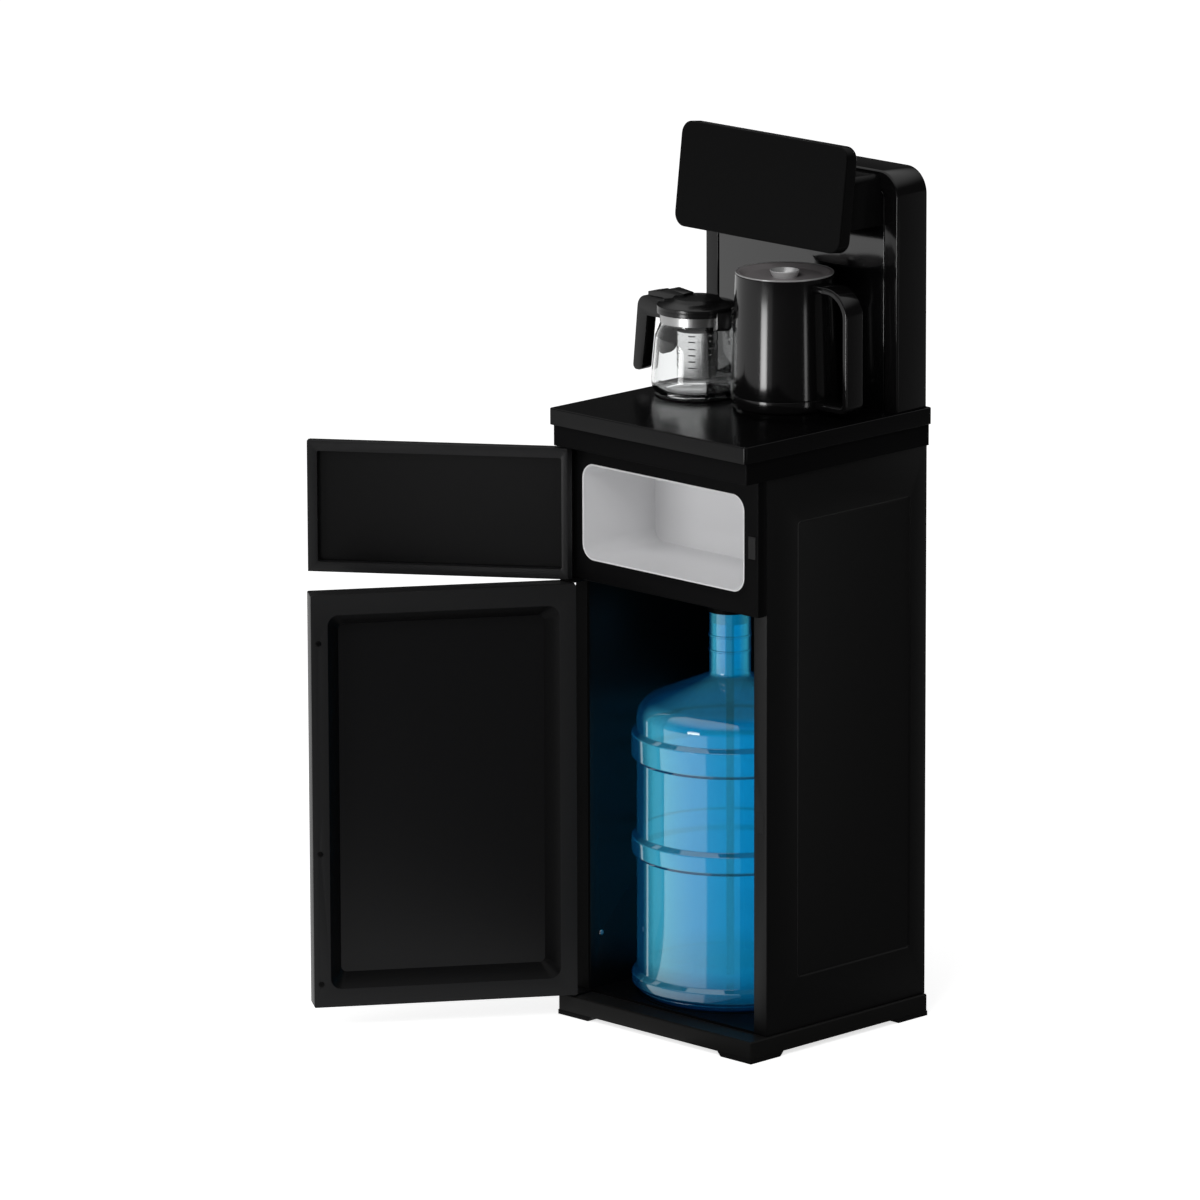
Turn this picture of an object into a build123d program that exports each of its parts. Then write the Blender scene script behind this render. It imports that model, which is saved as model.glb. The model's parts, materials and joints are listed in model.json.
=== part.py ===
"""Bottom load water cooler with a cup compartment, a heating counter, a kettle and a teapot.

Millimetres. X runs to the right as seen from the front, Y to the back, Z up.
The origin is on the floor under the middle of the cabinet. The doors stand open at rest.
"""

import os
from math import cos, radians, sin, tan

from build123d import *

os.makedirs("parts", exist_ok=True)

# Driving dimensions of the cabinet: spans are (low, high) along one axis.
SIDE_X = 165.0
JAMB = 22.0
BAY_X = SIDE_X - JAMB
SIDE_Y = (-128.0, 158.0)
PRESSED = (203.0, 581.0)
PRESSED_AT = (28.5, 383.5)
PLINTH_X = 169.0
PLINTH_Y = (-160.0, 159.0)
PLINTH_Z = (6.0, 28.0)
FOOT_REACH = 58.0
FLOOR_TOP = 31.0
DECK_Z = (566.0, 572.0)
TIER_X = 168.0
TIER_Y = (-166.0, 160.0)
TIER_Z = (734.0, 761.0)
SLAB_X = 170.0
SLAB_Y = (-171.0, 162.0)
SLAB_Z = (761.0, 782.0)
COUNTER = SLAB_Z[1]
BACK_Y = (150.0, 154.0)

# Screws: shank, head and head height, and their places on the back and inside the left wall.
SCREW_R = 1.8
SCREW_HEAD_R = 3.6
SCREW_HEAD = 1.5
BACK_SCREW_X = 134.0
BACK_SCREW_Z = (60, 220, 380, 540, 715)
COVER_SCREW_X = 150.0
COVER_SCREW_Z = (800, 930, 1050)
BAY_SCREW = (-109.0, 101.0)

# Front frame, its opening and the cup liner behind it.
FRAME_Y = (-143.0, -128.0)
FRAME_Z = (563.2, TIER_Z[0])
OPENING_X = 140.5
OPENING_Z = (590.0, 713.0)
OPENING_R = 20.0
LINER_BACK = -13.0
LINER_WALL = 2.5

# Doors: both turn about one upright line at the left.
DOOR_X = 167.0
PIVOT = (-158.5, -153.3)
DOOR_FRONT = -160.5
SKIN = 3.0
SKIN_EDGE = 0.8
LOWER_DOOR_Z = (31.0, 560.5)
LOWER_DOOR_BACK = -130.0
LOWER_OPEN = 125.0
LOWER_RIM_X = 21.0
LOWER_RIM_TOP = 26.0
LOWER_RIM_FOOT = 23.0
RECESS_RUN = 16.5
RECESS_DEPTH = 22.0
RECESS_R = 14.0
WINDOW_LAP = 6.0
DOOR_SCREW_Z = (61, 229, 499)
UPPER_DOOR_Z = (564.0, 731.0)
UPPER_DOOR_BACK = -144.5
UPPER_OPEN = 144.0
UPPER_SKIN = 4.0
UPPER_EDGE = 1.6
UPPER_RIM = 12.5
UPPER_RECESS = 10.0
HEEL_CHAMFER = 5.0
HINGE_PLATE = 2.0
HINGE_REACH = -140.0
PIN_R = 2.0
PIN_GAP = 0.05
PIN_DEPTH = 10.0
MAGNET_Z = (300.0, 650.0)

# Column, its glossy panel, the head and the housing between them.
COLUMN_X = 166.0
COLUMN_Y = (103.0, 155.0)
COLUMN_TOP = 1084.0
COLUMN_R = 32.0
COLUMN_WALL = 5.0
COVER_T = 4.0
PANEL_X = 142.0
PANEL_TOP = 1062.0
PANEL_DEPTH = 4.0
PANEL_SET = 0.5
GROOVE = 2.0
HEAD_X = 142.0
HEAD_T = 20.0
HEAD_FOOT = (22.0, 990.0)
HEAD_LENGTH = 132.7
HEAD_TILT = 7.1
HOUSING_X = 137.0
HOUSING_Z = (1015.5, 1080.0)

# Kettle: axis, wall, base ring, lid and strap handle.
KETTLE = (39.0, 34.0)
KETTLE_FOOT = 785.0
KETTLE_TOP = 952.5
KETTLE_FOOT_R = 67.5
KETTLE_TOP_R = 61.5
KETTLE_WALL = 2.5
SEAM = 17.0
BASE_CORNER = 7.0
BEAK = (7.0, 13.0, 26.0)
HANDLE_REACH = 120.0
HANDLE_T = 8.0
HANDLE_W = 30.0
HEATER_R = 60.0

# Teapot: axis, jar, steel band, black collar and handle.
TEAPOT = (-94.0, 14.0)
TEAPOT_FOOT = 784.0
TEAPOT_R = 57.0
JAR_SHOULDER = (52.0, 858.0)
JAR_WIDEST_Z = 806.0
JAR_CORNER = 18.0
JAR_WALL = 2.5
BAND_R = 46.0
BAND_Z = (875.5, 887.5)
NECK_TOP = 888.5
COLLAR_R = 50.0
COLLAR_TOP = 893.5
LID_RING = 4.5
HANDLE_HALF = 8.5
SADDLE_HALF = 17.0
SADDLE_FOOT = 827.0
INFUSER_R = 25.0
INFUSER_FOOT = 807.0

# Bottle: axis, body, bands, domed shoulder and neck, with the suction cap on it.
BOTTLE = (-17.0, -5.5)
BOTTLE_R = 124.0
BOTTLE_WAIST = 117.5
BOTTLE_WALL = 2.0
BOTTLE_FOOT = FLOOR_TOP
BOTTLE_TOP = 521.0
BOTTLE_BANDS = ((40.0, 62.0), (208.0, 238.0), (332.0, 371.0))
BAND_SLOPE = 5.0
SHOULDER_Z = 403.0
SHOULDER_R = 30.0
NECK_FOOT = 441.0
NECK_R = 26.0
NECK_BEADS = (472.0, 491.0)
CAP_Z = (BOTTLE_TOP, 531.0)
BARB_Z = 537.0

# Machine space behind the cup liner.
HOSE_R = 5.0
HOSE_WALL = 1.5
HOSE_BEND = 35.0
PUMP = (BOTTLE[0], 103.0)
PUMP_R = 18.0
PUMP_Z = (598.0, 668.0)
TANK = (-86.0, 56.0)
TANK_R = 52.0
TANK_Z = (574.0, 694.0)
SINK_Y = (114.0, 136.0)
SINK_HALF = 36.0
FINS = 13
FAN_Y = (136.0, 150.0)
FAN_Z = 640.0
FAN_HALF = 40.0
BLADES = 7
INLET = (105.0, 592.0)
SWITCH = (55.0, 592.0)

# Water tubes: up the column, then forward to one outlet over each vessel.
RISERS = ((KETTLE[0], 122.0), (TEAPOT[0], 122.0))
RISER_R = 5.0
RISER_TOP = 1040.0
NOZZLE_Y = 58.0
NOZZLE_LEAN = 24.0
NOZZLES = ((KETTLE[0], NOZZLE_Y), (TEAPOT[0], NOZZLE_Y))


def block(x, y, z):
    """A box between two planes on each axis."""
    size = Box(x[1] - x[0], y[1] - y[0], z[1] - z[0])
    return Pos((x[0] + x[1]) / 2, (y[0] + y[1]) / 2, (z[0] + z[1]) / 2) * size


def across(half):
    """The span from -half to +half."""
    return (-half, half)


def facing(x, z, y, radius):
    """A rounded rectangle in the XZ plane at depth y."""
    middle = ((x[0] + x[1]) / 2, y, (z[0] + z[1]) / 2)
    plane = Plane(origin=middle, x_dir=(1, 0, 0), z_dir=(0, 1, 0))
    return plane * RectangleRounded(x[1] - x[0], z[1] - z[0], radius)


def board(x, z, y, radius):
    """A board that stands in the XZ plane, from depth y[0] to y[1], with round corners."""
    return extrude(facing(x, z, y[0], radius), amount=y[1] - y[0])


def lying(x, y, z, radius):
    """A board that lies flat between z[0] and z[1], with round upright corners."""
    middle = ((x[0] + x[1]) / 2, (y[0] + y[1]) / 2, z[0])
    sheet = Plane(origin=middle) * RectangleRounded(x[1] - x[0], y[1] - y[0], radius)
    return extrude(sheet, amount=z[1] - z[0])


def post(centre, radius, z):
    """An upright cylinder from z[0] to z[1]."""
    return Pos(centre[0], centre[1], (z[0] + z[1]) / 2) * Cylinder(radius, z[1] - z[0])


def bar_y(x, z, radius, y):
    """A cylinder along Y from y[0] to y[1]."""
    return Pos(x, (y[0] + y[1]) / 2, z) * Rot(90, 0, 0) * Cylinder(radius, y[1] - y[0])


def bar_x(y, z, radius, x):
    """A cylinder along X from x[0] to x[1]."""
    return Pos((x[0] + x[1]) / 2, y, z) * Rot(0, 90, 0) * Cylinder(radius, x[1] - x[0])


def turned(centre, points):
    """A solid turned about the upright line at centre from (radius, height) points."""
    face = make_face(Plane.XZ * Polyline(*points, close=True))
    return Pos(centre[0], centre[1], 0) * revolve(face, Axis.Z)


def shrink(span, by):
    """A span drawn in by the same amount at both ends."""
    return (span[0] + by, span[1] - by)


def opened(shape, angle):
    """A door shape swung open about the pivot line, seen from above clockwise."""
    return Pos(*PIVOT, 0) * Rot(0, 0, -angle) * Pos(-PIVOT[0], -PIVOT[1], 0) * shape


def plinth():
    """Moulded base with a chamfered upper edge."""
    base = lying(across(PLINTH_X), PLINTH_Y, PLINTH_Z, 3)
    return chamfer(base.faces().sort_by(Axis.Z)[-1].edges(), 1.5)


def base_feet():
    """Four corner feet whose inner ends slant at 45 degrees."""
    height = PLINTH_Z[0]
    feet = []
    for side in (-1, 1):
        for corner_y, inward in ((PLINTH_Y[0], 1), (PLINTH_Y[1], -1)):
            x = sorted((side * PLINTH_X, side * (PLINTH_X - FOOT_REACH)))
            y = sorted((corner_y, corner_y + inward * FOOT_REACH))
            foot = block(x, y, (0, height))
            slants = foot.faces().sort_by(Axis.Z)[0].edges()
            inner_x = side * (PLINTH_X - FOOT_REACH)
            inner_y = corner_y + inward * FOOT_REACH
            slants = [e for e in slants if e.center().X == inner_x or e.center().Y == inner_y]
            feet.append(chamfer(slants, height - 0.5))
    return Compound(feet)


def bay_floor():
    """Floor of the bottle bay with a shallow round groove that centres the bottle."""
    floor = block(across(BAY_X), (SIDE_Y[0], BACK_Y[0]), (PLINTH_Z[1], FLOOR_TOP))
    groove = post(BOTTLE, 118, (FLOOR_TOP - 1, FLOOR_TOP)) - post(BOTTLE, 115, (0, FLOOR_TOP))
    return floor - groove


def side_panel(side):
    """Side wall with a front jamb and a shallow pressed rectangle on the outside."""
    x = sorted((side * BAY_X, side * SIDE_X))
    wall = block(x, SIDE_Y, (PLINTH_Z[1], TIER_Z[0]))
    outer = Plane(origin=(side * SIDE_X, *PRESSED_AT), x_dir=(0, 1, 0), z_dir=(-side, 0, 0))
    wide = outer * RectangleRounded(*PRESSED, 6)
    narrow = outer.offset(1.5) * RectangleRounded(PRESSED[0] - 4, PRESSED[1] - 4, 4)
    wall -= loft([wide, narrow])
    if side > 0:
        wall -= magnet_pocket(MAGNET_Z[0], SIDE_Y[0])
    else:
        wall -= bay_screw_shank()
    return wall


def magnet_pocket(z, y):
    """The block of a door catch let into a front edge."""
    return block((148, 160), (y, y + 8), (z - 14, z + 14))


def bay_screw_shank():
    """Shank of the screw in the left wall of the bottle bay."""
    return bar_x(*BAY_SCREW, SCREW_R, (-BAY_X - 8, -BAY_X))


def back_panel():
    """Sheet back with louvre slots and a round fan opening."""
    sheet = block(across(BAY_X), BACK_Y, (PLINTH_Z[1], TIER_Z[0]))
    slots = []
    for low_x in (30, 80):
        for row in range(7):
            low_z = 620 + row * 12
            slots.append(block((low_x, low_x + 40), BACK_Y, (low_z, low_z + 4)))
    sheet -= slots
    sheet -= fan_grille_gaps()
    sheet -= inlet_hole()
    sheet -= switch_hole()
    return sheet - back_screws(0)


def fan_grille_gaps():
    """Ring-shaped gaps over the fan, crossed by four spokes."""
    gaps = []
    for inner in (11, 20, 29):
        ring = bar_y(0, 0, inner + 6.5, BACK_Y) - bar_y(0, 0, inner, BACK_Y)
        for turn in range(2):
            ring -= Rot(0, 90 * turn, 0) * block(across(40), BACK_Y, across(1.5))
        gaps.append(Pos(TANK[0], 0, FAN_Z) * ring)
    return gaps


def inlet_hole():
    """Cut-out of the power inlet."""
    return block((INLET[0] - 14, INLET[0] + 14), BACK_Y, (INLET[1] - 10, INLET[1] + 10))


def switch_hole():
    """Cut-out of the rocker switch."""
    return block((SWITCH[0] - 10, SWITCH[0] + 10), BACK_Y, (SWITCH[1] - 7, SWITCH[1] + 7))


def back_screws(head):
    """Pan-head screws down both edges of the back panel; head is the head's height."""
    screws = []
    for x in (-BACK_SCREW_X, BACK_SCREW_X):
        for z in BACK_SCREW_Z:
            screws.append(screw(x, z, BACK_Y, head))
    return screws


def screw(x, z, y, head):
    """A screw along Y whose shank fills y and whose head stands proud of y[1]."""
    shank = bar_y(x, z, SCREW_R, y)
    if not head:
        return shank
    return shank + bar_y(x, z, SCREW_HEAD_R, (y[1], y[1] + head))


def machine_deck():
    """Shelf over the bottle bay, with the hole that the suction hose goes up through."""
    deck = block(across(BAY_X), (SIDE_Y[0], BACK_Y[0]), DECK_Z)
    return deck - post(PUMP, 9, DECK_Z)


def front_frame():
    """Fixed frame round the cup compartment."""
    frame = board(across(SIDE_X), FRAME_Z, FRAME_Y, 1.5)
    frame -= board(across(OPENING_X), OPENING_Z, FRAME_Y, OPENING_R)
    frame -= magnet_pocket(MAGNET_Z[1], FRAME_Y[0])
    return frame


def cup_liner():
    """Round-cornered white box, open to the front."""
    outside = board(across(OPENING_X), OPENING_Z, (FRAME_Y[0] + 0.5, LINER_BACK), OPENING_R)
    inside_x = across(OPENING_X - LINER_WALL)
    inside_z = shrink(OPENING_Z, LINER_WALL)
    inside = board(inside_x, inside_z, (FRAME_Y[0], LINER_BACK - LINER_WALL), OPENING_R - LINER_WALL)
    return outside - inside


def counter_rim():
    """Lower tier of the countertop."""
    rim = lying(across(TIER_X), TIER_Y, TIER_Z, 3)
    return rim - riser_holes(TIER_Z)


def counter_slab():
    """Glossy counter with softened edges."""
    slab = lying(across(SLAB_X), SLAB_Y, SLAB_Z, 4)
    slab = fillet(slab.faces().sort_by(Axis.Z)[-1].edges(), 1.5)
    return slab - riser_holes(SLAB_Z)


def riser_holes(z):
    """Holes that the two riser tubes pass through."""
    return [post(place, RISER_R, z) for place in RISERS]


def heating_plate():
    """Round kettle stand with its cordless connector in the middle."""
    disc = post(KETTLE, HEATER_R, (COUNTER, KETTLE_FOOT))
    disc = chamfer(disc.faces().sort_by(Axis.Z)[-1].edges(), 1)
    return disc + post(KETTLE, 14, (KETTLE_FOOT - 1, KETTLE_FOOT + 8))


def warming_plate():
    """Thin round plate that keeps the teapot warm."""
    disc = post(TEAPOT, TEAPOT_R - 5, (COUNTER, TEAPOT_FOOT))
    return chamfer(disc.faces().sort_by(Axis.Z)[-1].edges(), 0.8)


def arch(half_x, z, radius, y):
    """A board with square feet and round top corners."""
    low = z[0] - 2 * radius
    full = board(across(half_x), (low, z[1]), y, radius)
    return full & block(across(half_x), y, z)


def column_shell():
    """Back column: round shoulders, a bevelled front edge and a recess for the glossy panel."""
    shell = arch(COLUMN_X, (COUNTER, COLUMN_TOP), COLUMN_R, COLUMN_Y)
    shell = chamfer(front_rim(shell), 2)
    recess = (COLUMN_Y[0], COLUMN_Y[0] + PANEL_DEPTH)
    shell -= arch(PANEL_X + GROOVE, (COUNTER, PANEL_TOP), 12, recess)
    hollow = (COLUMN_Y[0] + PANEL_DEPTH + COLUMN_WALL, COLUMN_Y[1])
    top = COLUMN_TOP - COLUMN_WALL
    shell -= arch(COLUMN_X - COLUMN_WALL, (COUNTER, top), COLUMN_R - COLUMN_WALL, hollow)
    return shell - riser_heads()


def front_rim(shell):
    """Edges of the column's front outline, without the one on the counter."""
    front = shell.faces().sort_by(Axis.Y)[0]
    return front.edges().filter_by(lambda e: e.center().Z > COUNTER + 1)


def column_panel():
    """Glossy sheet let into the column, leaving a dark groove at each side."""
    depth = (COLUMN_Y[0] + PANEL_SET, COLUMN_Y[0] + PANEL_DEPTH)
    return arch(PANEL_X, (COUNTER, PANEL_TOP - GROOVE), 10, depth) - riser_heads()


def column_cover():
    """Plug-in rear cover that closes the column."""
    inner = COLUMN_X - COLUMN_WALL
    top = COLUMN_TOP - COLUMN_WALL
    cover = arch(inner, (COUNTER, top), COLUMN_R - COLUMN_WALL, cover_span())
    return cover - column_screw_bodies(0)


def cover_span():
    """Depth that the rear cover takes up."""
    return (COLUMN_Y[1] - COVER_T, COLUMN_Y[1])


def column_screw_bodies(head):
    """Screws of the rear cover; head is the head's height."""
    screws = []
    for x in (-COVER_SCREW_X, COVER_SCREW_X):
        for z in COVER_SCREW_Z:
            screws.append(screw(x, z, cover_span(), head))
    return screws


TILT = radians(HEAD_TILT)
HEAD_MIDDLE = HEAD_FOOT[0] + HEAD_LENGTH / 2 * sin(TILT), HEAD_FOOT[1] + HEAD_LENGTH / 2 * cos(TILT)
HEAD_PLANE = Plane(
    origin=(0, HEAD_MIDDLE[0], HEAD_MIDDLE[1]),
    x_dir=(1, 0, 0),
    z_dir=(0, cos(TILT), -sin(TILT)),
)


def head_slab(inset, near, far, radius):
    """A rounded slab in the head's own plane, from near to far behind its front face."""
    sheet = HEAD_PLANE.offset(near) * RectangleRounded(2 * (HEAD_X - inset), HEAD_LENGTH - 2 * inset, radius)
    return extrude(sheet, amount=far - near)


def head_shell():
    """Tilted head case with soft edges and a pocket for the display board."""
    shell = head_slab(0, 2, HEAD_T, 17)
    shell = fillet(shell.faces().sort_by(Axis.Y)[-1].edges(), 3)
    return shell - head_slab(14, 2, 10, 8)


def head_front():
    """Glossy front panel of the head, bare of marks."""
    panel = head_slab(0, 0, 2, 17)
    return chamfer(panel.faces().sort_by(Axis.Y)[0].edges(), 0.8)


def display_board():
    """Touch board fixed to the back of the head's front panel."""
    return head_slab(20, 2, 3.6, 4)


def head_back_y(z):
    """Depth of the head's rear face at height z."""
    return HEAD_FOOT[0] + (z - HEAD_FOOT[1]) * tan(TILT) + HEAD_T / cos(TILT)


def head_housing():
    """Body between the head and the column, with the two outlets in its underside."""
    low, high = HOUSING_Z
    step = PANEL_TOP - GROOVE
    profile = Polyline(
        (head_back_y(low), low),
        (head_back_y(high), high),
        (COLUMN_Y[0], high),
        (COLUMN_Y[0], step),
        (COLUMN_Y[0] + PANEL_SET, step),
        (COLUMN_Y[0] + PANEL_SET, low),
        close=True,
    )
    body = extrude(make_face(Plane.YZ * profile), amount=HOUSING_X, both=True)
    body = fillet(body.edges().filter_by(Axis.Y).group_by(Axis.Z)[-1], 10)
    return body - riser_heads() - nozzle_necks()


def riser_heads():
    """Space of the level tubes from the column into the housing."""
    return [bar_y(place[0], RISER_TOP, RISER_R, (NOZZLE_Y, RISERS[0][1])) for place in NOZZLES]


def nozzle_necks():
    """Upright holes in the housing for the outlet nozzles."""
    return [post(place, 7, (HOUSING_Z[0], RISER_TOP)) for place in NOZZLES]


def nozzle(place):
    """Outlet with a flange under the housing and a spout that leans forward over the vessel."""
    body = post(place, 7, (HOUSING_Z[0], RISER_TOP - RISER_R))
    body += post(place, 11, (HOUSING_Z[0] - 3, HOUSING_Z[0]))
    lean = Pos(place[0], place[1] - 4, HOUSING_Z[0] - 10) * Rot(-NOZZLE_LEAN, 0, 0)
    body += lean * Cylinder(5.5, 20)
    return body - lean * Pos(0, 0, -6) * Cylinder(3.5, 9)


def riser_tube(place):
    """Stiff tube from the machine space up the column and forward to the outlet."""
    up = post(place, RISER_R, (TIER_Z[0] - 14, RISER_TOP))
    along = bar_y(place[0], RISER_TOP, RISER_R, (NOZZLE_Y, place[1]))
    return up + along + Pos(*place, RISER_TOP) * Sphere(RISER_R)


def hinge_plate(z, back, pin):
    """Flat plate between two heights, with a pin on the pivot line that spans pin."""
    plate = lying((-SIDE_X, HINGE_REACH), (PIVOT[1] - 5, back), z, 2)
    return plate + post(PIVOT, PIN_R, pin)


def bottom_hinge():
    """Lower hinge on the plinth."""
    z = (PLINTH_Z[1], PLINTH_Z[1] + HINGE_PLATE)
    return hinge_plate(z, FRAME_Y[1], (z[0], LOWER_DOOR_Z[0] + PIN_DEPTH))


def middle_hinge():
    """Plate under the front frame, between the doors; its pin carries both of them."""
    z = (FRAME_Z[0] - HINGE_PLATE, FRAME_Z[0])
    return hinge_plate(z, FRAME_Y[1], (LOWER_DOOR_Z[1] - PIN_DEPTH, UPPER_DOOR_Z[0] + PIN_DEPTH))


def top_hinge():
    """Upper hinge under the counter rim."""
    z = (TIER_Z[0] - HINGE_PLATE, TIER_Z[0])
    return hinge_plate(z, FRAME_Y[0], (UPPER_DOOR_Z[1] - PIN_DEPTH, z[1]))


def pin_bores(z):
    """Blind bores for the hinge pins at both ends of a door."""
    radius = PIN_R + PIN_GAP
    deep = PIN_DEPTH + 1.5
    return [post(PIVOT, radius, (z[0], z[0] + deep)), post(PIVOT, radius, (z[1] - deep, z[1]))]


def lower_door_skin():
    """Outer face of the lower door."""
    skin = board(across(DOOR_X), LOWER_DOOR_Z, (DOOR_FRONT, DOOR_FRONT + SKIN), 2)
    skin = chamfer(skin.faces().sort_by(Axis.Y)[0].edges(), SKIN_EDGE)
    return opened(skin, LOWER_OPEN)


def lower_door_frame():
    """Moulded inner frame: flat border, sloped walls and a window for the flat panel."""
    frame = board(across(DOOR_X), LOWER_DOOR_Z, (DOOR_FRONT + SKIN, LOWER_DOOR_BACK), 2)
    mouth_x, mouth_z = recess_spans(0)
    floor_x, floor_z = recess_spans(RECESS_RUN)
    mouth = facing(mouth_x, mouth_z, LOWER_DOOR_BACK, RECESS_R)
    floor = facing(floor_x, floor_z, LOWER_DOOR_BACK - RECESS_DEPTH, RECESS_R / 2)
    frame -= loft([floor, mouth])
    frame -= lower_panel_solid()
    frame -= pin_bores(LOWER_DOOR_Z)
    frame -= door_screw_bodies(0)
    return opened(frame, LOWER_OPEN)


def recess_spans(run):
    """Width and height spans of the lower door's recess, run inside its mouth."""
    mouth_z = (LOWER_DOOR_Z[0] + LOWER_RIM_FOOT, LOWER_DOOR_Z[1] - LOWER_RIM_TOP)
    return across(DOOR_X - LOWER_RIM_X - run), shrink(mouth_z, run)


def lower_panel_solid():
    """The flat panel behind the recess, larger than its window all round."""
    x, z = recess_spans(RECESS_RUN - WINDOW_LAP)
    return board(x, z, (DOOR_FRONT + SKIN, LOWER_DOOR_BACK - RECESS_DEPTH), 4)


def lower_door_panel():
    """Flat inner panel of the lower door."""
    return opened(lower_panel_solid(), LOWER_OPEN)


def door_screw_bodies(head):
    """Three screws down the free border of the lower door; head is the head's height."""
    span = (LOWER_DOOR_BACK - 12, LOWER_DOOR_BACK)
    return [screw(DOOR_X - 9, z, span, head) for z in DOOR_SCREW_Z]


def upper_door_skin():
    """Outer face of the upper door; its bevel lets the hinge edge turn past the front frame."""
    skin = board(across(DOOR_X), UPPER_DOOR_Z, (DOOR_FRONT, DOOR_FRONT + UPPER_SKIN), 2)
    skin = chamfer(skin.faces().sort_by(Axis.Y)[0].edges(), UPPER_EDGE)
    return opened(skin, UPPER_OPEN)


def upper_door_frame():
    """Raised frame round the inside; its hinge edge is bevelled to clear the front frame."""
    y = (DOOR_FRONT + UPPER_SKIN, UPPER_DOOR_BACK)
    frame = block(across(DOOR_X), y, UPPER_DOOR_Z)
    heel = frame.edges().filter_by(Axis.Z).group_by(Axis.X)[0].sort_by(Axis.Y)[-1]
    frame = chamfer(heel, HEEL_CHAMFER)
    frame -= upper_window(y)
    frame -= pin_bores(UPPER_DOOR_Z)
    return opened(frame, UPPER_OPEN)


def upper_window(y):
    """The space inside the raised frame."""
    return board(across(DOOR_X - UPPER_RIM), shrink(UPPER_DOOR_Z, UPPER_RIM), y, 3)


def upper_door_panel():
    """Flat inner panel of the upper door."""
    panel = upper_window((DOOR_FRONT + UPPER_SKIN, UPPER_DOOR_BACK - UPPER_RECESS))
    return opened(panel, UPPER_OPEN)


def kettle_radius(z):
    """Outer radius of the kettle at height z."""
    share = (z - KETTLE_FOOT) / (KETTLE_TOP - KETTLE_FOOT)
    return KETTLE_FOOT_R + share * (KETTLE_TOP_R - KETTLE_FOOT_R)


def kettle_body():
    """Slightly conical kettle wall and floor."""
    low = KETTLE_FOOT + SEAM
    points = [
        (0, low),
        (kettle_radius(low), low),
        (kettle_radius(KETTLE_TOP - 1.5), KETTLE_TOP - 1.5),
        (KETTLE_TOP_R - 1, KETTLE_TOP),
        (KETTLE_TOP_R - KETTLE_WALL, KETTLE_TOP),
        (kettle_radius(low) - KETTLE_WALL, low + 3),
        (0, low + 3),
    ]
    body = turned(KETTLE, points)
    return body + (pouring_beak(0) - kettle_core()) - (pouring_beak(KETTLE_WALL) - kettle_skirt())


def kettle_core():
    """The space that the kettle's outside takes up."""
    low = KETTLE_FOOT
    points = [
        (0, low),
        (KETTLE_FOOT_R, low),
        (kettle_radius(low + SEAM), low + SEAM),
        (KETTLE_TOP_R, KETTLE_TOP),
        (0, KETTLE_TOP),
    ]
    return turned(KETTLE, points)


def kettle_skirt():
    """Everything below the foot of the beak, where the wall stays whole."""
    return post(KETTLE, KETTLE_TOP_R * 2, (KETTLE_FOOT, KETTLE_TOP - BEAK[2] * 0.6))


def pouring_beak(inset):
    """Pointed lip on the side away from the handle, wider and longer towards the rim."""
    reach, half, drop = BEAK
    root = KETTLE_TOP_R - 6
    sections = []
    for z, share in ((KETTLE_TOP - drop, 0.15), (KETTLE_TOP, 1.0)):
        tip = kettle_radius(z) + reach * share - inset
        wide = half * (0.3 + 0.7 * share) - inset / 2
        outline = Polyline((-root, -wide), (-tip, 0), (-root, wide), close=True)
        sections.append(Pos(*KETTLE, z) * make_face(outline))
    return loft(sections)


def kettle_base():
    """Base ring with the socket that drops over the connector."""
    foot = KETTLE_FOOT
    points = [
        (16, foot),
        (KETTLE_FOOT_R, foot),
        (kettle_radius(foot + SEAM) - 0.4, foot + SEAM - 0.6),
        (kettle_radius(foot + SEAM) - 1.5, foot + SEAM),
        (0, foot + SEAM),
        (0, foot + 11),
        (16, foot + 11),
    ]
    base = turned(KETTLE, points)
    outer = base.edges().filter_by(GeomType.CIRCLE).group_by(Axis.Z)[0].sort_by(SortBy.RADIUS)[-1]
    return fillet(outer, BASE_CORNER)


def kettle_handle():
    """Closed strap handle with a large round shoulder, seated on the body and the base."""
    x = (KETTLE[0] + 40, KETTLE[0] + HANDLE_REACH)
    z = (KETTLE_FOOT + 6, KETTLE_TOP - 6)
    strap = handle_loop(x, z, HANDLE_W, 36, 12)
    strap -= handle_loop((x[0] - 1, x[1] - HANDLE_T), shrink(z, HANDLE_T + 1), HANDLE_W + 2, 28, 5)
    return strap - kettle_core()


def handle_loop(x, z, width, shoulder, heel):
    """A block centred on the kettle, with two round outer corners seen along Y."""
    solid = block(x, (KETTLE[1] - width / 2, KETTLE[1] + width / 2), z)
    outer = solid.edges().filter_by(Axis.Y).group_by(Axis.X)[-1].sort_by(Axis.Z)
    solid = fillet(outer[-1], shoulder)
    outer = solid.edges().filter_by(Axis.Y).group_by(Axis.Z)[0].sort_by(Axis.X)
    return fillet(outer[-1], heel)


def kettle_lid():
    """Dished lid whose thin flange rests on the rim, with a seat for the filling knob."""
    top = KETTLE_TOP
    plug = KETTLE_TOP_R - KETTLE_WALL - 0.8
    points = [
        (15, top - 5),
        (plug - 8, top - 4),
        (plug - 2, top + 1.5),
        (KETTLE_TOP_R - 0.5, top + 1.5),
        (KETTLE_TOP_R - 0.5, top),
        (plug, top),
        (plug, top - 11),
        (15, top - 13),
    ]
    return turned(KETTLE, points)


def kettle_knob():
    """Steel filling funnel, also the lid's knob, open down its middle."""
    top = KETTLE_TOP
    points = [
        (9, top - 13),
        (15, top - 13),
        (15, top - 5),
        (19, top + 3.5),
        (17.5, top + 3.5),
        (13, top - 4),
        (9, top - 7),
    ]
    return turned(KETTLE, points)


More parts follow.
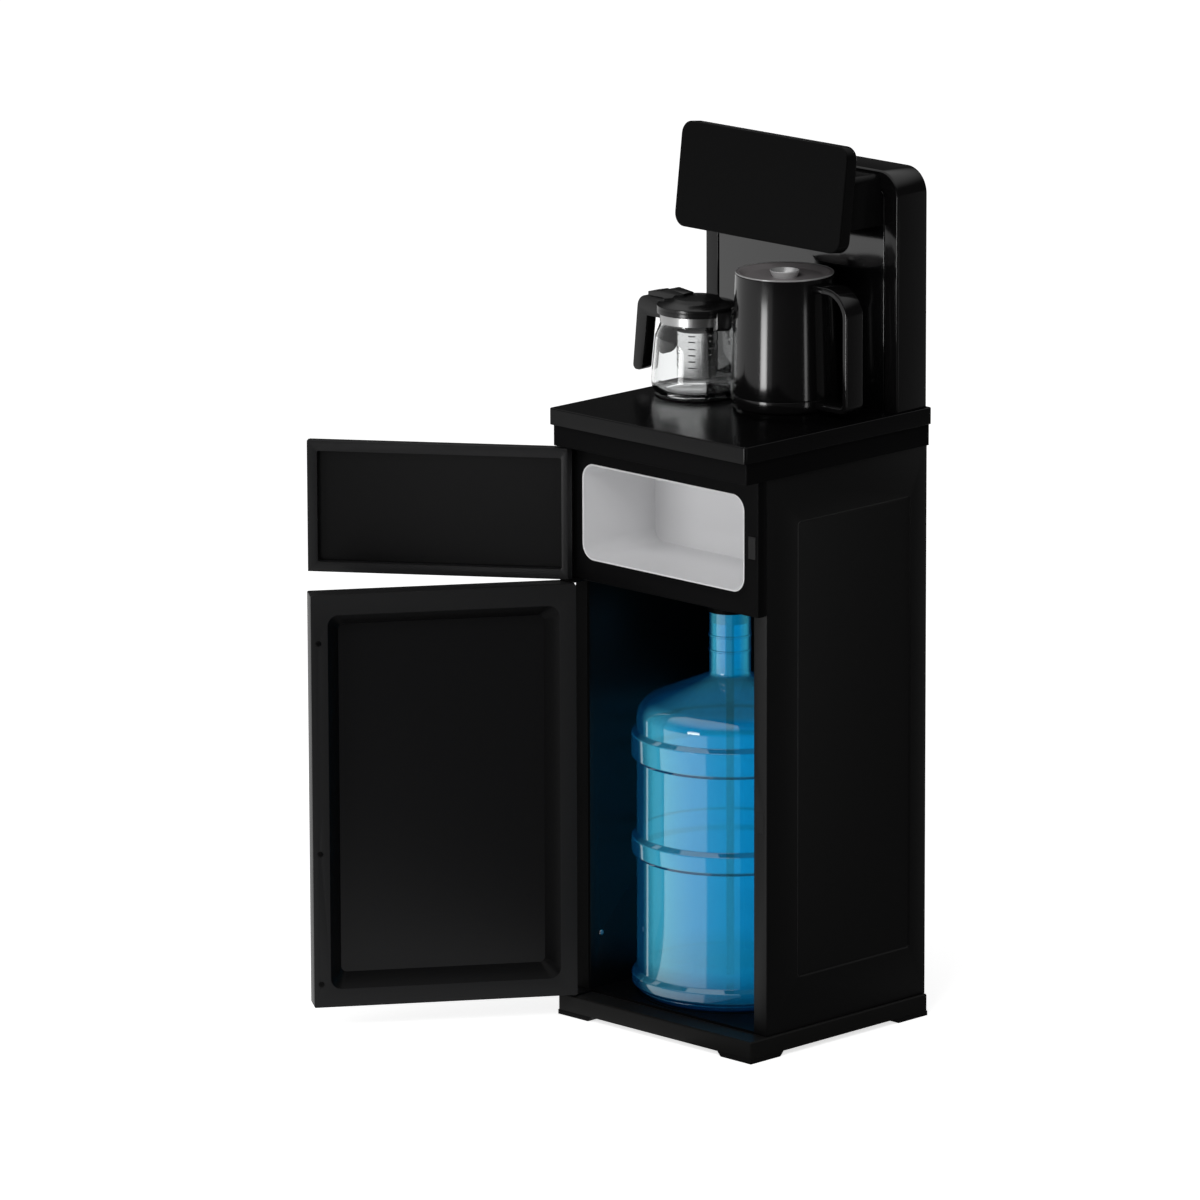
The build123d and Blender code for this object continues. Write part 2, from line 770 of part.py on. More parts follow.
def teapot_glass():
    """Glass jar: large round foot corner, wall that draws in upwards, and a shoulder to the neck."""
    return jar(0) - jar(JAR_WALL)


def jar(wall):
    """The jar's outer shape drawn in by the wall."""
    foot = TEAPOT_FOOT + wall
    neck = BAND_R - 1 - wall
    shoulder = JAR_SHOULDER[0] - wall
    points = [
        (0, foot),
        (TEAPOT_R - wall, foot),
        (TEAPOT_R - wall, JAR_WIDEST_Z),
        (shoulder, JAR_SHOULDER[1]),
        (neck, BAND_Z[0] - 3),
        (neck, NECK_TOP),
        (0, NECK_TOP),
    ]
    solid = turned(TEAPOT, points)
    solid = fillet(rings_of(solid)[0], JAR_CORNER - wall - 1)
    return fillet(rings_of(solid)[-3:-1], 6)


def rings_of(solid):
    """Round edges from the lowest to the highest."""
    return solid.edges().filter_by(GeomType.CIRCLE).sort_by(Axis.Z)


def ring_near(solid, z):
    """The round edge that lies nearest to a height."""
    return min(rings_of(solid), key=lambda ring: abs(ring.center().Z - z))


def teapot_band():
    """Steel band clamped round the neck."""
    return post(TEAPOT, BAND_R, BAND_Z) - post(TEAPOT, BAND_R - 1, BAND_Z)


def teapot_collar():
    """Black collar over the neck, with a ledge for the infuser and a spout guard over the band."""
    ring = [
        (34, NECK_TOP),
        (BAND_R - 1, NECK_TOP),
        (BAND_R - 1, BAND_Z[1]),
        (COLLAR_R, BAND_Z[1]),
        (COLLAR_R, COLLAR_TOP),
        (38, COLLAR_TOP),
        (38, COLLAR_TOP - 3),
        (34, COLLAR_TOP - 3),
    ]
    return turned(TEAPOT, ring) + spout_guard()


def spout_guard():
    """Pointed guard that covers the band on the side away from the handle."""
    low = BAND_Z[0] - 5
    x, y = TEAPOT
    outline = Polyline(
        (x + 40, y - 16),
        (x + 49, y - 13),
        (x + 60, y),
        (x + 49, y + 13),
        (x + 40, y + 16),
        close=True,
    )
    guard = extrude(Pos(0, 0, low) * make_face(outline), amount=COLLAR_TOP - low)
    guard = chamfer(guard.faces().sort_by(Axis.Z)[0].edges().sort_by(Axis.X)[-2:], 3)
    guard -= post(TEAPOT, BAND_R, (low, BAND_Z[1]))
    guard -= post(TEAPOT, BAND_R, (BAND_Z[1], COLLAR_TOP))
    return guard - jar(0)


def teapot_lid():
    """Two-step lid with the thumb lever over the handle."""
    top = COLLAR_TOP
    profile = [
        (0, top),
        (COLLAR_R, top),
        (COLLAR_R, top + LID_RING - 1),
        (COLLAR_R - 1, top + LID_RING),
        (34, top + LID_RING + 3),
        (31, top + LID_RING + 5.5),
        (29, top + LID_RING + 7.5),
        (0, top + LID_RING + 8.5),
    ]
    return turned(TEAPOT, profile) + thumb_lever(top + LID_RING)


def thumb_lever(ring_top):
    """Low wedge that runs from the lid's crown out over the handle."""
    x, y = TEAPOT
    outline = Polyline(
        (x - 76, ring_top + 1.5),
        (x - 76, ring_top + 6),
        (x - 60, ring_top + 9.5),
        (x - 52, ring_top + 9),
        (x - 40, ring_top + 14),
        (x - 14, ring_top + 11),
        (x - 14, ring_top + 4),
        (x - 47, ring_top - 0.5),
        (x - 51.5, ring_top + 1.5),
        close=True,
    )
    lever = extrude(Plane.XZ.offset(-y) * make_face(outline), 9, both=True)
    return chamfer(lever.edges().filter_by(Axis.Y).group_by(Axis.Z)[-1], 1.5)


def teapot_handle():
    """Free-ended handle: a saddle on the glass, an arm and a leg that hangs down."""
    x, y = TEAPOT
    arm_top = COLLAR_TOP + LID_RING
    arm_foot = BAND_Z[0] - 3
    outline = Polyline(
        (x - 46, arm_top),
        (x - 94, arm_top),
        (x - 104, 801),
        (x - 88, 801),
        (x - 79, arm_foot),
        (x - 46, arm_foot),
        close=True,
    )
    arm = extrude(Plane.XZ.offset(-y) * make_face(outline), HANDLE_HALF, both=True)
    across_arm = arm.edges().filter_by(Axis.Y).sort_by(Axis.X)
    arm = fillet(across_arm[0:1] + across_arm[2:3], 6)
    shoulder = arm.edges().filter_by(Axis.Y).group_by(Axis.Z)[-1].sort_by(Axis.X)[0]
    arm = fillet(shoulder, 16)
    solid = arm + handle_saddle() - jar(0)
    solid -= post(TEAPOT, BAND_R, BAND_Z)
    solid -= post(TEAPOT, COLLAR_R, (BAND_Z[1], COLLAR_TOP))
    return solid - post(TEAPOT, COLLAR_R + 0.4, (COLLAR_TOP, arm_top))


def handle_saddle():
    """Curved plate on the jar under the arm, round at its foot."""
    x, y = TEAPOT
    span = (SADDLE_FOOT, BAND_Z[1])
    middle = (x - 60, y, (span[0] + span[1]) / 2)
    plane = Plane(origin=middle, x_dir=(0, 1, 0), z_dir=(1, 0, 0))
    tongue = extrude(plane * RectangleRounded(2 * SADDLE_HALF, span[1] - span[0], 12), 20, both=True)
    tongue += block((x - 80, x - 40), (y - SADDLE_HALF, y + SADDLE_HALF), (span[1] - 20, span[1]))
    return tongue & jar(-4)


def teapot_infuser():
    """Steel infuser cup hung from the collar's ledge, with rows of slots."""
    top = COLLAR_TOP - 2
    inner = INFUSER_R - 0.8
    shell = [
        (0, INFUSER_FOOT),
        (INFUSER_R, INFUSER_FOOT),
        (INFUSER_R, top - 1),
        (37.6, top - 1),
        (37.6, top),
        (inner, top),
        (inner, INFUSER_FOOT + 0.8),
        (0, INFUSER_FOOT + 0.8),
    ]
    slots = []
    for row in range(7):
        for turn in range(3):
            slot = Pos(0, 0, 820 + row * 8) * Box(80, 9, 1.6)
            slots.append(Pos(*TEAPOT, 0) * Rot(0, 0, turn * 60) * slot)
    return turned(TEAPOT, shell) - slots


def bottle_solid(wall):
    """The bottle's outer shape drawn in by the wall: three proud bands and a conical shoulder."""
    wide = BOTTLE_R - wall
    slim = BOTTLE_WAIST - wall
    neck = NECK_R - wall
    low = BOTTLE_FOOT + wall
    points = [
        (0, low + 12),
        (70, low + 8),
        (98, low),
        (108 - wall, low),
        (slim, BOTTLE_FOOT + 8),
    ]
    for z in BOTTLE_BANDS:
        points += [(slim, z[0]), (wide, z[0] + BAND_SLOPE), (wide, z[1] - BAND_SLOPE), (slim, z[1])]
    cone_drop = 0.67 * wall
    points += [
        (slim, SHOULDER_Z - cone_drop),
        (neck, NECK_FOOT - cone_drop),
        (neck, BOTTLE_TOP),
        (0, BOTTLE_TOP),
    ]
    solid = turned(BOTTLE, points)
    solid = fillet(ring_near(solid, SHOULDER_Z - cone_drop), SHOULDER_R - wall)
    return fillet(ring_near(solid, NECK_FOOT - cone_drop), 5)


def bottle_shell():
    """Ribbed water bottle with a round shoulder and a beaded neck."""
    shell = bottle_solid(0) - bottle_solid(BOTTLE_WALL)
    for z in NECK_BEADS:
        shell += post(BOTTLE, NECK_R + 1.2, (z - 1.5, z + 1.5)) - post(BOTTLE, NECK_R - 1, (z - 1.5, z + 1.5))
    return shell


def suction_cap():
    """Cap that plugs the neck, with a sideways barb for the hose."""
    cap = post(BOTTLE, NECK_R + 2, CAP_Z)
    cap += post(BOTTLE, NECK_R - 2.3, (CAP_Z[0] - 14, CAP_Z[0]))
    cap += post(BOTTLE, 8, (CAP_Z[1], BARB_Z + 6))
    cap += bar_y(BOTTLE[0], BARB_Z, HOSE_R - HOSE_WALL, (BOTTLE[1], BOTTLE[1] + 24))
    return cap - post(BOTTLE, 5, (CAP_Z[0] - 14, CAP_Z[0]))


def dip_tube():
    """Tube from the cap down to the bottom of the bottle."""
    z = (BOTTLE_FOOT + 20, CAP_Z[0])
    return post(BOTTLE, 5, z) - post(BOTTLE, 3.5, z)


def suction_hose():
    """Soft hose from the cap's barb, back and up through the deck to the pump."""
    start = (BOTTLE[0], BOTTLE[1] + 10, BARB_Z)
    corner = (PUMP[0], PUMP[1], BARB_Z)
    end = (PUMP[0], PUMP[1], PUMP_Z[0] - 8)
    route = FilletPolyline(start, corner, end, radius=HOSE_BEND)
    ring = Circle(HOSE_R) - Circle(HOSE_R - HOSE_WALL)
    hose = sweep(Plane(origin=start, z_dir=(0, 1, 0)) * ring, path=route)
    return hose


def pump():
    """Upright pump can with end caps and an inlet barb at the bottom."""
    low, high = PUMP_Z
    can = post(PUMP, PUMP_R, PUMP_Z)
    for z in (low, high - 8):
        can += post(PUMP, PUMP_R + 1.5, (z, z + 8))
    can += post(PUMP, HOSE_R - HOSE_WALL, (low - 22, low))
    can += post(PUMP, 4, (high, high + 14))
    return can


def pump_bracket():
    """Saddle that holds the pump off the deck."""
    x, y = PUMP
    half = 21
    plate = block((x - half, x + half), (y - half, y + half), (PUMP_Z[0] - 4, PUMP_Z[0]))
    plate -= post(PUMP, HOSE_R + 1, (PUMP_Z[0] - 4, PUMP_Z[0]))
    for side in (-1, 1):
        leg = sorted((x + side * half, x + side * (half - 3)))
        plate += block(leg, (y - half, y + half), (DECK_Z[1], PUMP_Z[0]))
    return plate


def cold_tank():
    """Foam-jacketed cold tank on three short legs."""
    tank = post(TANK, TANK_R, TANK_Z)
    tank = fillet(tank.edges().filter_by(GeomType.CIRCLE), 5)
    for turn in range(3):
        angle = radians(90 + turn * 120)
        place = (TANK[0] + 40 * cos(angle), TANK[1] + 40 * sin(angle))
        tank += post(place, 6, (DECK_Z[1], TANK_Z[0] + 2))
    cold_block = block((TANK[0] - 20, TANK[0] + 20), (TANK[1], SINK_Y[0]), (FAN_Z - 20, FAN_Z + 20))
    return tank + cold_block


def heat_sink():
    """Finned sink that takes the heat from behind the cold tank."""
    x, z = TANK[0], FAN_Z
    height = (z - SINK_HALF, z + SINK_HALF)
    sink = block((x - SINK_HALF, x + SINK_HALF), (SINK_Y[0], SINK_Y[0] + 4), height)
    pitch = (2 * SINK_HALF - 1.2) / (FINS - 1)
    fins = []
    for index in range(FINS):
        low = x - SINK_HALF + index * pitch
        fins.append(block((low, low + 1.2), (SINK_Y[0] + 4, SINK_Y[1]), height))
    return sink + fins


def fan_frame():
    """Square fan frame with its hub carried on four arms."""
    x, z = TANK[0], FAN_Z
    frame = board((x - FAN_HALF, x + FAN_HALF), (z - FAN_HALF, z + FAN_HALF), FAN_Y, 5)
    frame -= bar_y(x, z, FAN_HALF - 2, FAN_Y)
    arms = []
    for turn in range(4):
        arm = Pos(26, 0, 0) * Box(26, 2, 5)
        arms.append(Pos(x, FAN_Y[0] + 1, z) * Rot(0, 45 + 90 * turn, 0) * arm)
    frame += arms
    frame += bar_y(x, z, 14, (FAN_Y[0], FAN_Y[0] + 2))
    return frame + bar_y(x, z, 2, (FAN_Y[0] + 2, FAN_Y[1] - 2))


def fan_rotor():
    """Seven-bladed rotor that turns on the frame's stub axle."""
    x, z = TANK[0], FAN_Z
    hub = bar_y(0, 0, 13, (-4.5, 4.5))
    blades = []
    for turn in range(BLADES):
        blade = Pos(24, 0, 0) * Rot(35, 0, 0) * Box(26, 1.6, 10)
        blades.append(Rot(0, turn * 360 / BLADES, 0) * blade)
    rotor = hub + blades
    rotor -= bar_y(0, 0, 2.05, (-6, 6))
    return Pos(x, (FAN_Y[0] + FAN_Y[1]) / 2, z) * rotor


def control_board():
    """Control board on four posts, with its transformer, relays and capacitors."""
    z = DECK_Z[1]
    board_z = (z + 8, z + 9.6)
    shape = block((30, 132), (10, 90), board_z)
    for x in (36, 126):
        for y in (16, 84):
            shape += post((x, y), 3, (z, board_z[0]))
    shape += block((40, 76), (46, 78), (board_z[1], board_z[1] + 28))
    for x in (90, 106):
        shape += block((x, x + 13), (60, 80), (board_z[1], board_z[1] + 15))
    for x in (92, 108):
        shape += post((x, 36), 6, (board_z[1], board_z[1] + 20))
    return shape


def power_inlet():
    """Three-pin power inlet let into the back panel."""
    x, z = INLET
    flange = board((x - 18, x + 18), (z - 13, z + 13), (BACK_Y[1], BACK_Y[1] + 2), 3)
    body = block((x - 14, x + 14), (BACK_Y[0] - 16, BACK_Y[1]), (z - 10, z + 10))
    socket = block((x - 12, x + 12), (BACK_Y[0] - 10, BACK_Y[1] + 2), (z - 8.5, z + 8.5))
    inlet = flange + body - socket
    for pin_x in (x - 6, x, x + 6):
        inlet += block((pin_x - 1, pin_x + 1), (BACK_Y[0] - 10, BACK_Y[1]), (z - 3, z + 3))
    return inlet


def switch_frame():
    """Bezel and body of the power switch."""
    x, z = SWITCH
    flange = board((x - 12, x + 12), (z - 9, z + 9), (BACK_Y[1], BACK_Y[1] + 1.5), 2)
    body = block((x - 10, x + 10), (BACK_Y[0] - 14, BACK_Y[1]), (z - 7, z + 7))
    well = block((x - 8.5, x + 8.5), (BACK_Y[0] - 8, BACK_Y[1] + 1.5), (z - 5.5, z + 5.5))
    axle = post((x, BACK_Y[1] - 1.5), 1, (z - 5.5, z + 5.5))
    return flange + body - well + axle


def switch_rocker():
    """Rocker of the power switch, tipped a little to one side at rest."""
    x, z = SWITCH
    y = BACK_Y[1] - 1.5
    outline = Polyline((-8, 1), (0, 2.2), (8, 1), (7, -3.5), (0, -4.5), (-7, -3.5), close=True)
    rocker = extrude(make_face(outline), 5.2, both=True) - Cylinder(1.05, 12)
    return Pos(x, y, z) * Rot(0, 0, 8) * rocker


def door_magnets():
    """Two catch magnets, one for each door."""
    return Compound([magnet_pocket(MAGNET_Z[0], SIDE_Y[0]), magnet_pocket(MAGNET_Z[1], FRAME_Y[0])])


def cabinet_screws():
    """Back panel screws and the screw inside the left wall."""
    head = bar_x(*BAY_SCREW, SCREW_HEAD_R, (-BAY_X, -BAY_X + SCREW_HEAD))
    return Compound([*back_screws(SCREW_HEAD), bay_screw_shank() + head])


NODES = {
    "plinth": plinth(),
    "base_feet": base_feet(),
    "bay_floor": bay_floor(),
    "side_panel_left": side_panel(-1),
    "side_panel_right": side_panel(1),
    "back_panel": back_panel(),
    "machine_deck": machine_deck(),
    "front_frame": front_frame(),
    "cup_liner": cup_liner(),
    "counter_rim": counter_rim(),
    "counter_slab": counter_slab(),
    "heating_plate": heating_plate(),
    "warming_plate": warming_plate(),
    "column_shell": column_shell(),
    "column_panel": column_panel(),
    "column_cover": column_cover(),
    "column_screws": Compound(column_screw_bodies(SCREW_HEAD)),
    "head_housing": head_housing(),
    "head_shell": head_shell(),
    "head_front": head_front(),
    "display_board": display_board(),
    "kettle_nozzle": nozzle(NOZZLES[0]),
    "teapot_nozzle": nozzle(NOZZLES[1]),
    "riser_tubes": Compound([riser_tube(place) for place in RISERS]),
    "bottom_hinge": bottom_hinge(),
    "middle_hinge": middle_hinge(),
    "top_hinge": top_hinge(),
    "door_magnets": door_magnets(),
    "cabinet_screws": cabinet_screws(),
    "pump": pump(),
    "pump_bracket": pump_bracket(),
    "suction_hose": suction_hose(),
    "cold_tank": cold_tank(),
    "heat_sink": heat_sink(),
    "fan_frame": fan_frame(),
    "fan_rotor": fan_rotor(),
    "control_board": control_board(),
    "power_inlet": power_inlet(),
    "switch_frame": switch_frame(),
    "switch_rocker": switch_rocker(),
    "lower_door_skin": lower_door_skin(),
    "lower_door_frame": lower_door_frame(),
    "lower_door_panel": lower_door_panel(),
    "lower_door_screws": opened(Compound(door_screw_bodies(SCREW_HEAD)), LOWER_OPEN),
    "upper_door_skin": upper_door_skin(),
    "upper_door_frame": upper_door_frame(),
    "upper_door_panel": upper_door_panel(),
    "kettle_body": kettle_body(),
    "kettle_base": kettle_base(),
    "kettle_handle": kettle_handle(),
    "kettle_lid": kettle_lid(),
    "kettle_knob": kettle_knob(),
    "teapot_glass": teapot_glass(),
    "teapot_band": teapot_band(),
    "teapot_collar": teapot_collar(),
    "teapot_handle": teapot_handle(),
    "teapot_lid": teapot_lid(),
    "teapot_infuser": teapot_infuser(),
    "bottle_shell": bottle_shell(),
    "suction_fitting": suction_cap() + dip_tube(),
}

for name, shape in NODES.items():
    export_step(shape, f"parts/{name}.step")
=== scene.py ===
# %% [markdown]
# # A bottom load water cooler, dressed
# The cooler is a slim black cabinet. Its lower door hides the bottle, its upper door the cup compartment,
# and a kettle and a glass teapot stand on the counter under a tilted head. The pieces' sizes and places
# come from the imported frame, so this lesson is about finishes, soft edges and the small shapes that make
# them real.

# %% Load the frame
import json
from math import cos, pi, radians, sin, tan

import bmesh
import bpy
from mathutils import Matrix, Vector


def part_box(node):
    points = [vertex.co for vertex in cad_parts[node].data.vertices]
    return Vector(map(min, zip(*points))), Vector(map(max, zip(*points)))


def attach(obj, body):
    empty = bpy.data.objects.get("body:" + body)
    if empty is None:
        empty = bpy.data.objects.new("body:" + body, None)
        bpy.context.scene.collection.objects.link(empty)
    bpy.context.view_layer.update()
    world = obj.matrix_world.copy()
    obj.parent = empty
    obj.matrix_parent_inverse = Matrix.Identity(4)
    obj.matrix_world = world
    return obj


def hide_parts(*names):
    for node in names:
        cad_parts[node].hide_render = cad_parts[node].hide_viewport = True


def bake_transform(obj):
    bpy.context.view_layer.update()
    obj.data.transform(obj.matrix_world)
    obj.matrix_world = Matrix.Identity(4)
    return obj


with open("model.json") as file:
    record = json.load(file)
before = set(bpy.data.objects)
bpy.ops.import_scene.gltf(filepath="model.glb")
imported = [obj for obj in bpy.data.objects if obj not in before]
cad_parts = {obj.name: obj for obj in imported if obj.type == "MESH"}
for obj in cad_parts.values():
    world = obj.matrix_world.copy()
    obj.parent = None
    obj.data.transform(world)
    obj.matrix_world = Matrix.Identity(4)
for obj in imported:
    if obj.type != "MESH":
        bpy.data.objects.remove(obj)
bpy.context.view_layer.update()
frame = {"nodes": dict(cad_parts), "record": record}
MM = 0.001

# %% [markdown]
# ## Camera
# The object was photographed from its front right corner and a little above, through a very long lens, so
# the upright edges stay parallel. A long lens far away gives the same picture; the aim point sits left of
# the cabinet because the doors reach that way.

# %% Camera
EYE = Vector((8.4773, -8.7354, 3.3911))
AIM = Vector((-0.1250, -0.1271, 0.5367))
LENS = 300.8
ROLL = radians(-0.193)


def make_camera():
    """A camera at EYE that looks at AIM."""
    data = bpy.data.cameras.new("camera")
    data.lens = LENS
    data.clip_end = 100
    camera = bpy.data.objects.new("camera", data)
    bpy.context.scene.collection.objects.link(camera)
    turn = (AIM - EYE).to_track_quat("-Z", "Y").to_matrix().to_4x4()
    camera.matrix_world = Matrix.Translation(EYE) @ turn @ Matrix.Rotation(ROLL, 4, "Z")
    bpy.context.scene.camera = camera
    print("camera", round((AIM - EYE).length, 2), "m away, lens", LENS)


make_camera()

# %% [markdown]
# ## Materials start with a helper
# A material is a Principled shader with its plain values set on its own sockets. It could be clicked
# together in the shader editor; a function keeps the finishes in one list, where their tones can be
# compared.

# %% New material
def new_material(name, color, roughness, **sockets):
    """A material with a Principled shader whose plain values are set on its own sockets."""
    material = bpy.data.materials.new(name)
    material.use_nodes = True
    shader = material.node_tree.nodes["Principled BSDF"]
    shader.inputs["Base Color"].default_value = (*color, 1)
    shader.inputs["Roughness"].default_value = roughness
    for socket, value in sockets.items():
        shader.inputs[socket.replace("_", " ")].default_value = value
    return material


BROUGHT = len(bpy.data.materials)
print(BROUGHT, "materials come with the frame")


# %% [markdown]
# ### Node helpers
# What changes over a surface comes from a node group, built once and placed in each material with its own
# values. Four helpers keep the groups short: one each for an empty group, a node, a link and a ramp.

# %% Groups, nodes, links and ramps
def new_group(name, inputs, outputs):
    """An empty shader group with float inputs and the outputs given as (name, kind)."""
    tree = bpy.data.node_groups.new(name, "ShaderNodeTree")
    for label, value in inputs.items():
        socket = tree.interface.new_socket(label, in_out="INPUT", socket_type="NodeSocketFloat")
        socket.default_value = value
    for label, kind in outputs:
        tree.interface.new_socket(label, in_out="OUTPUT", socket_type=kind)
    return tree, tree.nodes.new("NodeGroupInput"), tree.nodes.new("NodeGroupOutput")


def node(tree, kind, **settings):
    """A node with its properties set; keys that name a socket set its value instead."""
    made = tree.nodes.new(kind)
    for key, value in settings.items():
        if hasattr(made, key):
            setattr(made, key, value)
        else:
            made.inputs[key.replace("_", " ")].default_value = value
    return made


def wire(source, output, target, socket):
    """Links an output of one node to an input of another, each by name or number."""
    source.id_data.links.new(source.outputs[output], target.inputs[socket])


def ramp_of(tree, stops):
    """A colour ramp with stops given as (position, colour)."""
    made = node(tree, "ShaderNodeValToRGB")
    elements = made.color_ramp.elements
    while len(elements) < len(stops):
        elements.new(0.5)
    for element, (at, color) in zip(elements, stops):
        element.position = at
        element.color = (*color, 1)
    return made


# %% [markdown]
# ### Moulded grain
# Black plastic and powder coat are never mirror flat. A fine noise on Object coordinates feeds a Bump node,
# and a larger, softer one changes the roughness a little, as handling and moulding do. An image texture
# could do this too, but noise needs no unwrapping. The Stretch input squeezes the fine noise upright, which
# turns the same group into the drawn lines of brushed steel.

# %% Grain group
GRAIN_INPUTS = {
    "Scale": 900.0,
    "Stretch": 1.0,
    "Strength": 0.1,
    "Depth": 0.0002,
    "Roughness": 0.4,
    "Spread": 0.06,
}
HANDLING_SCALE = 9.0


def make_grain_group():
    """Group: a bump normal and a roughness that varies about its middle."""
    outputs = [("Roughness", "NodeSocketFloat"), ("Normal", "NodeSocketVector")]
    tree, start, end = new_group("moulded_grain", GRAIN_INPUTS, outputs)
    place = node(tree, "ShaderNodeTexCoord")
    squeeze = node(tree, "ShaderNodeCombineXYZ", X=1.0, Y=1.0)
    drawn = node(tree, "ShaderNodeVectorMath", operation="MULTIPLY")
    fine = node(tree, "ShaderNodeTexNoise", Detail=3.0)
    broad = node(tree, "ShaderNodeTexNoise", Scale=HANDLING_SCALE, Detail=4.0)
    bump = node(tree, "ShaderNodeBump")
    centred = node(tree, "ShaderNodeMath", operation="SUBTRACT")
    centred.inputs[1].default_value = 0.5
    spread = node(tree, "ShaderNodeMath", operation="MULTIPLY")
    total = node(tree, "ShaderNodeMath", operation="ADD", use_clamp=True)
    wire(start, "Stretch", squeeze, "Z")
    wire(place, "Object", drawn, 0)
    wire(squeeze, 0, drawn, 1)
    wire(drawn, 0, fine, "Vector")
    wire(place, "Object", broad, "Vector")
    wire(start, "Scale", fine, "Scale")
    wire(fine, "Fac", bump, "Height")
    wire(start, "Strength", bump, "Strength")
    wire(start, "Depth", bump, "Distance")
    wire(broad, "Fac", centred, 0)
    wire(centred, 0, spread, 0)
    wire(start, "Spread", spread, 1)
    wire(spread, 0, total, 0)
    wire(start, "Roughness", total, 1)
    wire(total, 0, end, "Roughness")
    wire(bump, "Normal", end, "Normal")
    return tree


GRAIN = make_grain_group()
print(GRAIN.name, "has", len(GRAIN.nodes), "nodes and the inputs", ", ".join(GRAIN_INPUTS))

# %% [markdown]
# ### A grained finish in one call
# The group's two outputs feed the shader's Roughness and Normal. The same nodes could be built in every
# material, but with a helper a finish is a colour, a roughness and three numbers of grain.

# %% Grained finish
def grained(material, scale, strength, spread, depth=0.0002, stretch=1.0):
    """Adds the moulded grain to a material, about its own roughness."""
    tree = material.node_tree
    shader = tree.nodes["Principled BSDF"]
    grain = tree.nodes.new("ShaderNodeGroup")
    grain.node_tree = GRAIN
    values = {"Scale": scale, "Strength": strength, "Spread": spread, "Depth": depth, "Stretch": stretch}
    for label, value in values.items():
        grain.inputs[label].default_value = value
    grain.inputs["Roughness"].default_value = shader.inputs["Roughness"].default_value
    wire(grain, "Roughness", shader, "Roughness")
    wire(grain, "Normal", shader, "Normal")
    return material


def finish(name, color, roughness, grain, specular=0.5, metallic=0.0, **more):
    """A grained material, with the grain as (scale, strength, spread)."""
    material = new_material(name, color, roughness, Specular_IOR_Level=specular, Metallic=metallic)
    return grained(material, *grain, **more)


# %% [markdown]
# ### Coats and mouldings of the cabinet
# The cabinet is black throughout, yet no two pieces are the same black: powder-coated steel is deep and
# matt, the doors' moulded liners are a step greyer, and their flat panels lie between. One black for all
# would melt the doors into one shape, so each kind of piece has its own tone.

# %% Cabinet blacks
COAT_GRAIN = (1400, 0.1, 0.08)
FRAME_GRAIN = (900, 0.1, 0.08)
PANEL_GRAIN = (700, 0.04, 0.06)
BLACK = (0.003, 0.003, 0.0032)
coat_black = finish("coat_black", BLACK, 0.42, COAT_GRAIN, specular=0.25)
satin_black = finish("satin_black", BLACK, 0.38, (900, 0.08, 0.08), specular=0.03)
frame_black = finish("frame_black", (0.0165, 0.0165, 0.017), 0.36, FRAME_GRAIN, specular=0.12)
frame_light = finish("frame_light", (0.014, 0.014, 0.0145), 0.36, FRAME_GRAIN, specular=0.14)
plinth_black = finish("plinth_black", (0.0075, 0.0074, 0.0072), 0.5, COAT_GRAIN, specular=0.1)
panel_black = finish("panel_black", (0.0065, 0.0065, 0.007), 0.33, PANEL_GRAIN, specular=0.2)
# panel_dark is the upper door panel's own darker tone and also painted shade on the sides of the lower
# door's recess.
panel_dark = finish("panel_dark", (0.004, 0.004, 0.0042), 0.33, PANEL_GRAIN, specular=0.1)
rubber = finish("rubber", (0.006, 0.006, 0.006), 0.75, (1200, 0.2, 0.1), specular=0.1)
liner_white = finish("liner_white", (0.79, 0.79, 0.8), 0.34, (800, 0.04, 0.06), specular=0.4)
print(len(bpy.data.materials) - BROUGHT, "cabinet finishes")

# %% [markdown]
# ### Gloss of the head, the counter and the pots
# Head, counter and kettle are polished. A polished black shows little of itself and much of the room, so
# the roughness is low and the Specular level says how strong the mirror is: low on the head, which the
# photograph shows almost flat, higher on the kettle, where the highlights run.

# %% Gloss blacks
GLOSS = (0.002, 0.002, 0.0022)
pot_black = finish("pot_black", (0.006, 0.006, 0.0062), 0.22, (500, 0.03, 0.06), specular=0.35)
head_black = finish("head_black", (0.0045, 0.0045, 0.0046), 0.22, (500, 0.03, 0.05), specular=0.06)
gloss_black = finish("gloss_black", (0.004, 0.0038, 0.004), 0.12, (60, 0.02, 0.04), specular=0.36)
glass_black = finish("glass_black", GLOSS, 0.1, (40, 0.01, 0.04), specular=0.9)
counter_gloss = finish("counter_gloss", GLOSS, 0.2, (40, 0.02, 0.08), specular=0.16)
# The lid's brownish grey is lightened by a painted reflection.
lid_brown_and_sheen = finish("lid_brown_and_sheen", (0.28, 0.262, 0.266), 0.2, (60, 0.02, 0.06))
# This grey for a ring on the kettle's rim is a painted highlight.
rim_highlight_grey = finish("rim_highlight_grey", (0.3, 0.3, 0.3), 0.25, (400, 0.03, 0.05), specular=0.8)
print(len(bpy.data.materials) - BROUGHT, "finishes with the gloss blacks")

# %% [markdown]
# ### Metals and inner parts
# Zinc plate and stainless steel are full metals whose roughness separates dull from bright; the kettle's
# funnel is only half metallic, which keeps it pale. The hinge plates and the door's screws are blackened,
# so they aren't metallic at all. Board, foam and heat sink lie inside, where little of them shows, and get
# one plain finish each.

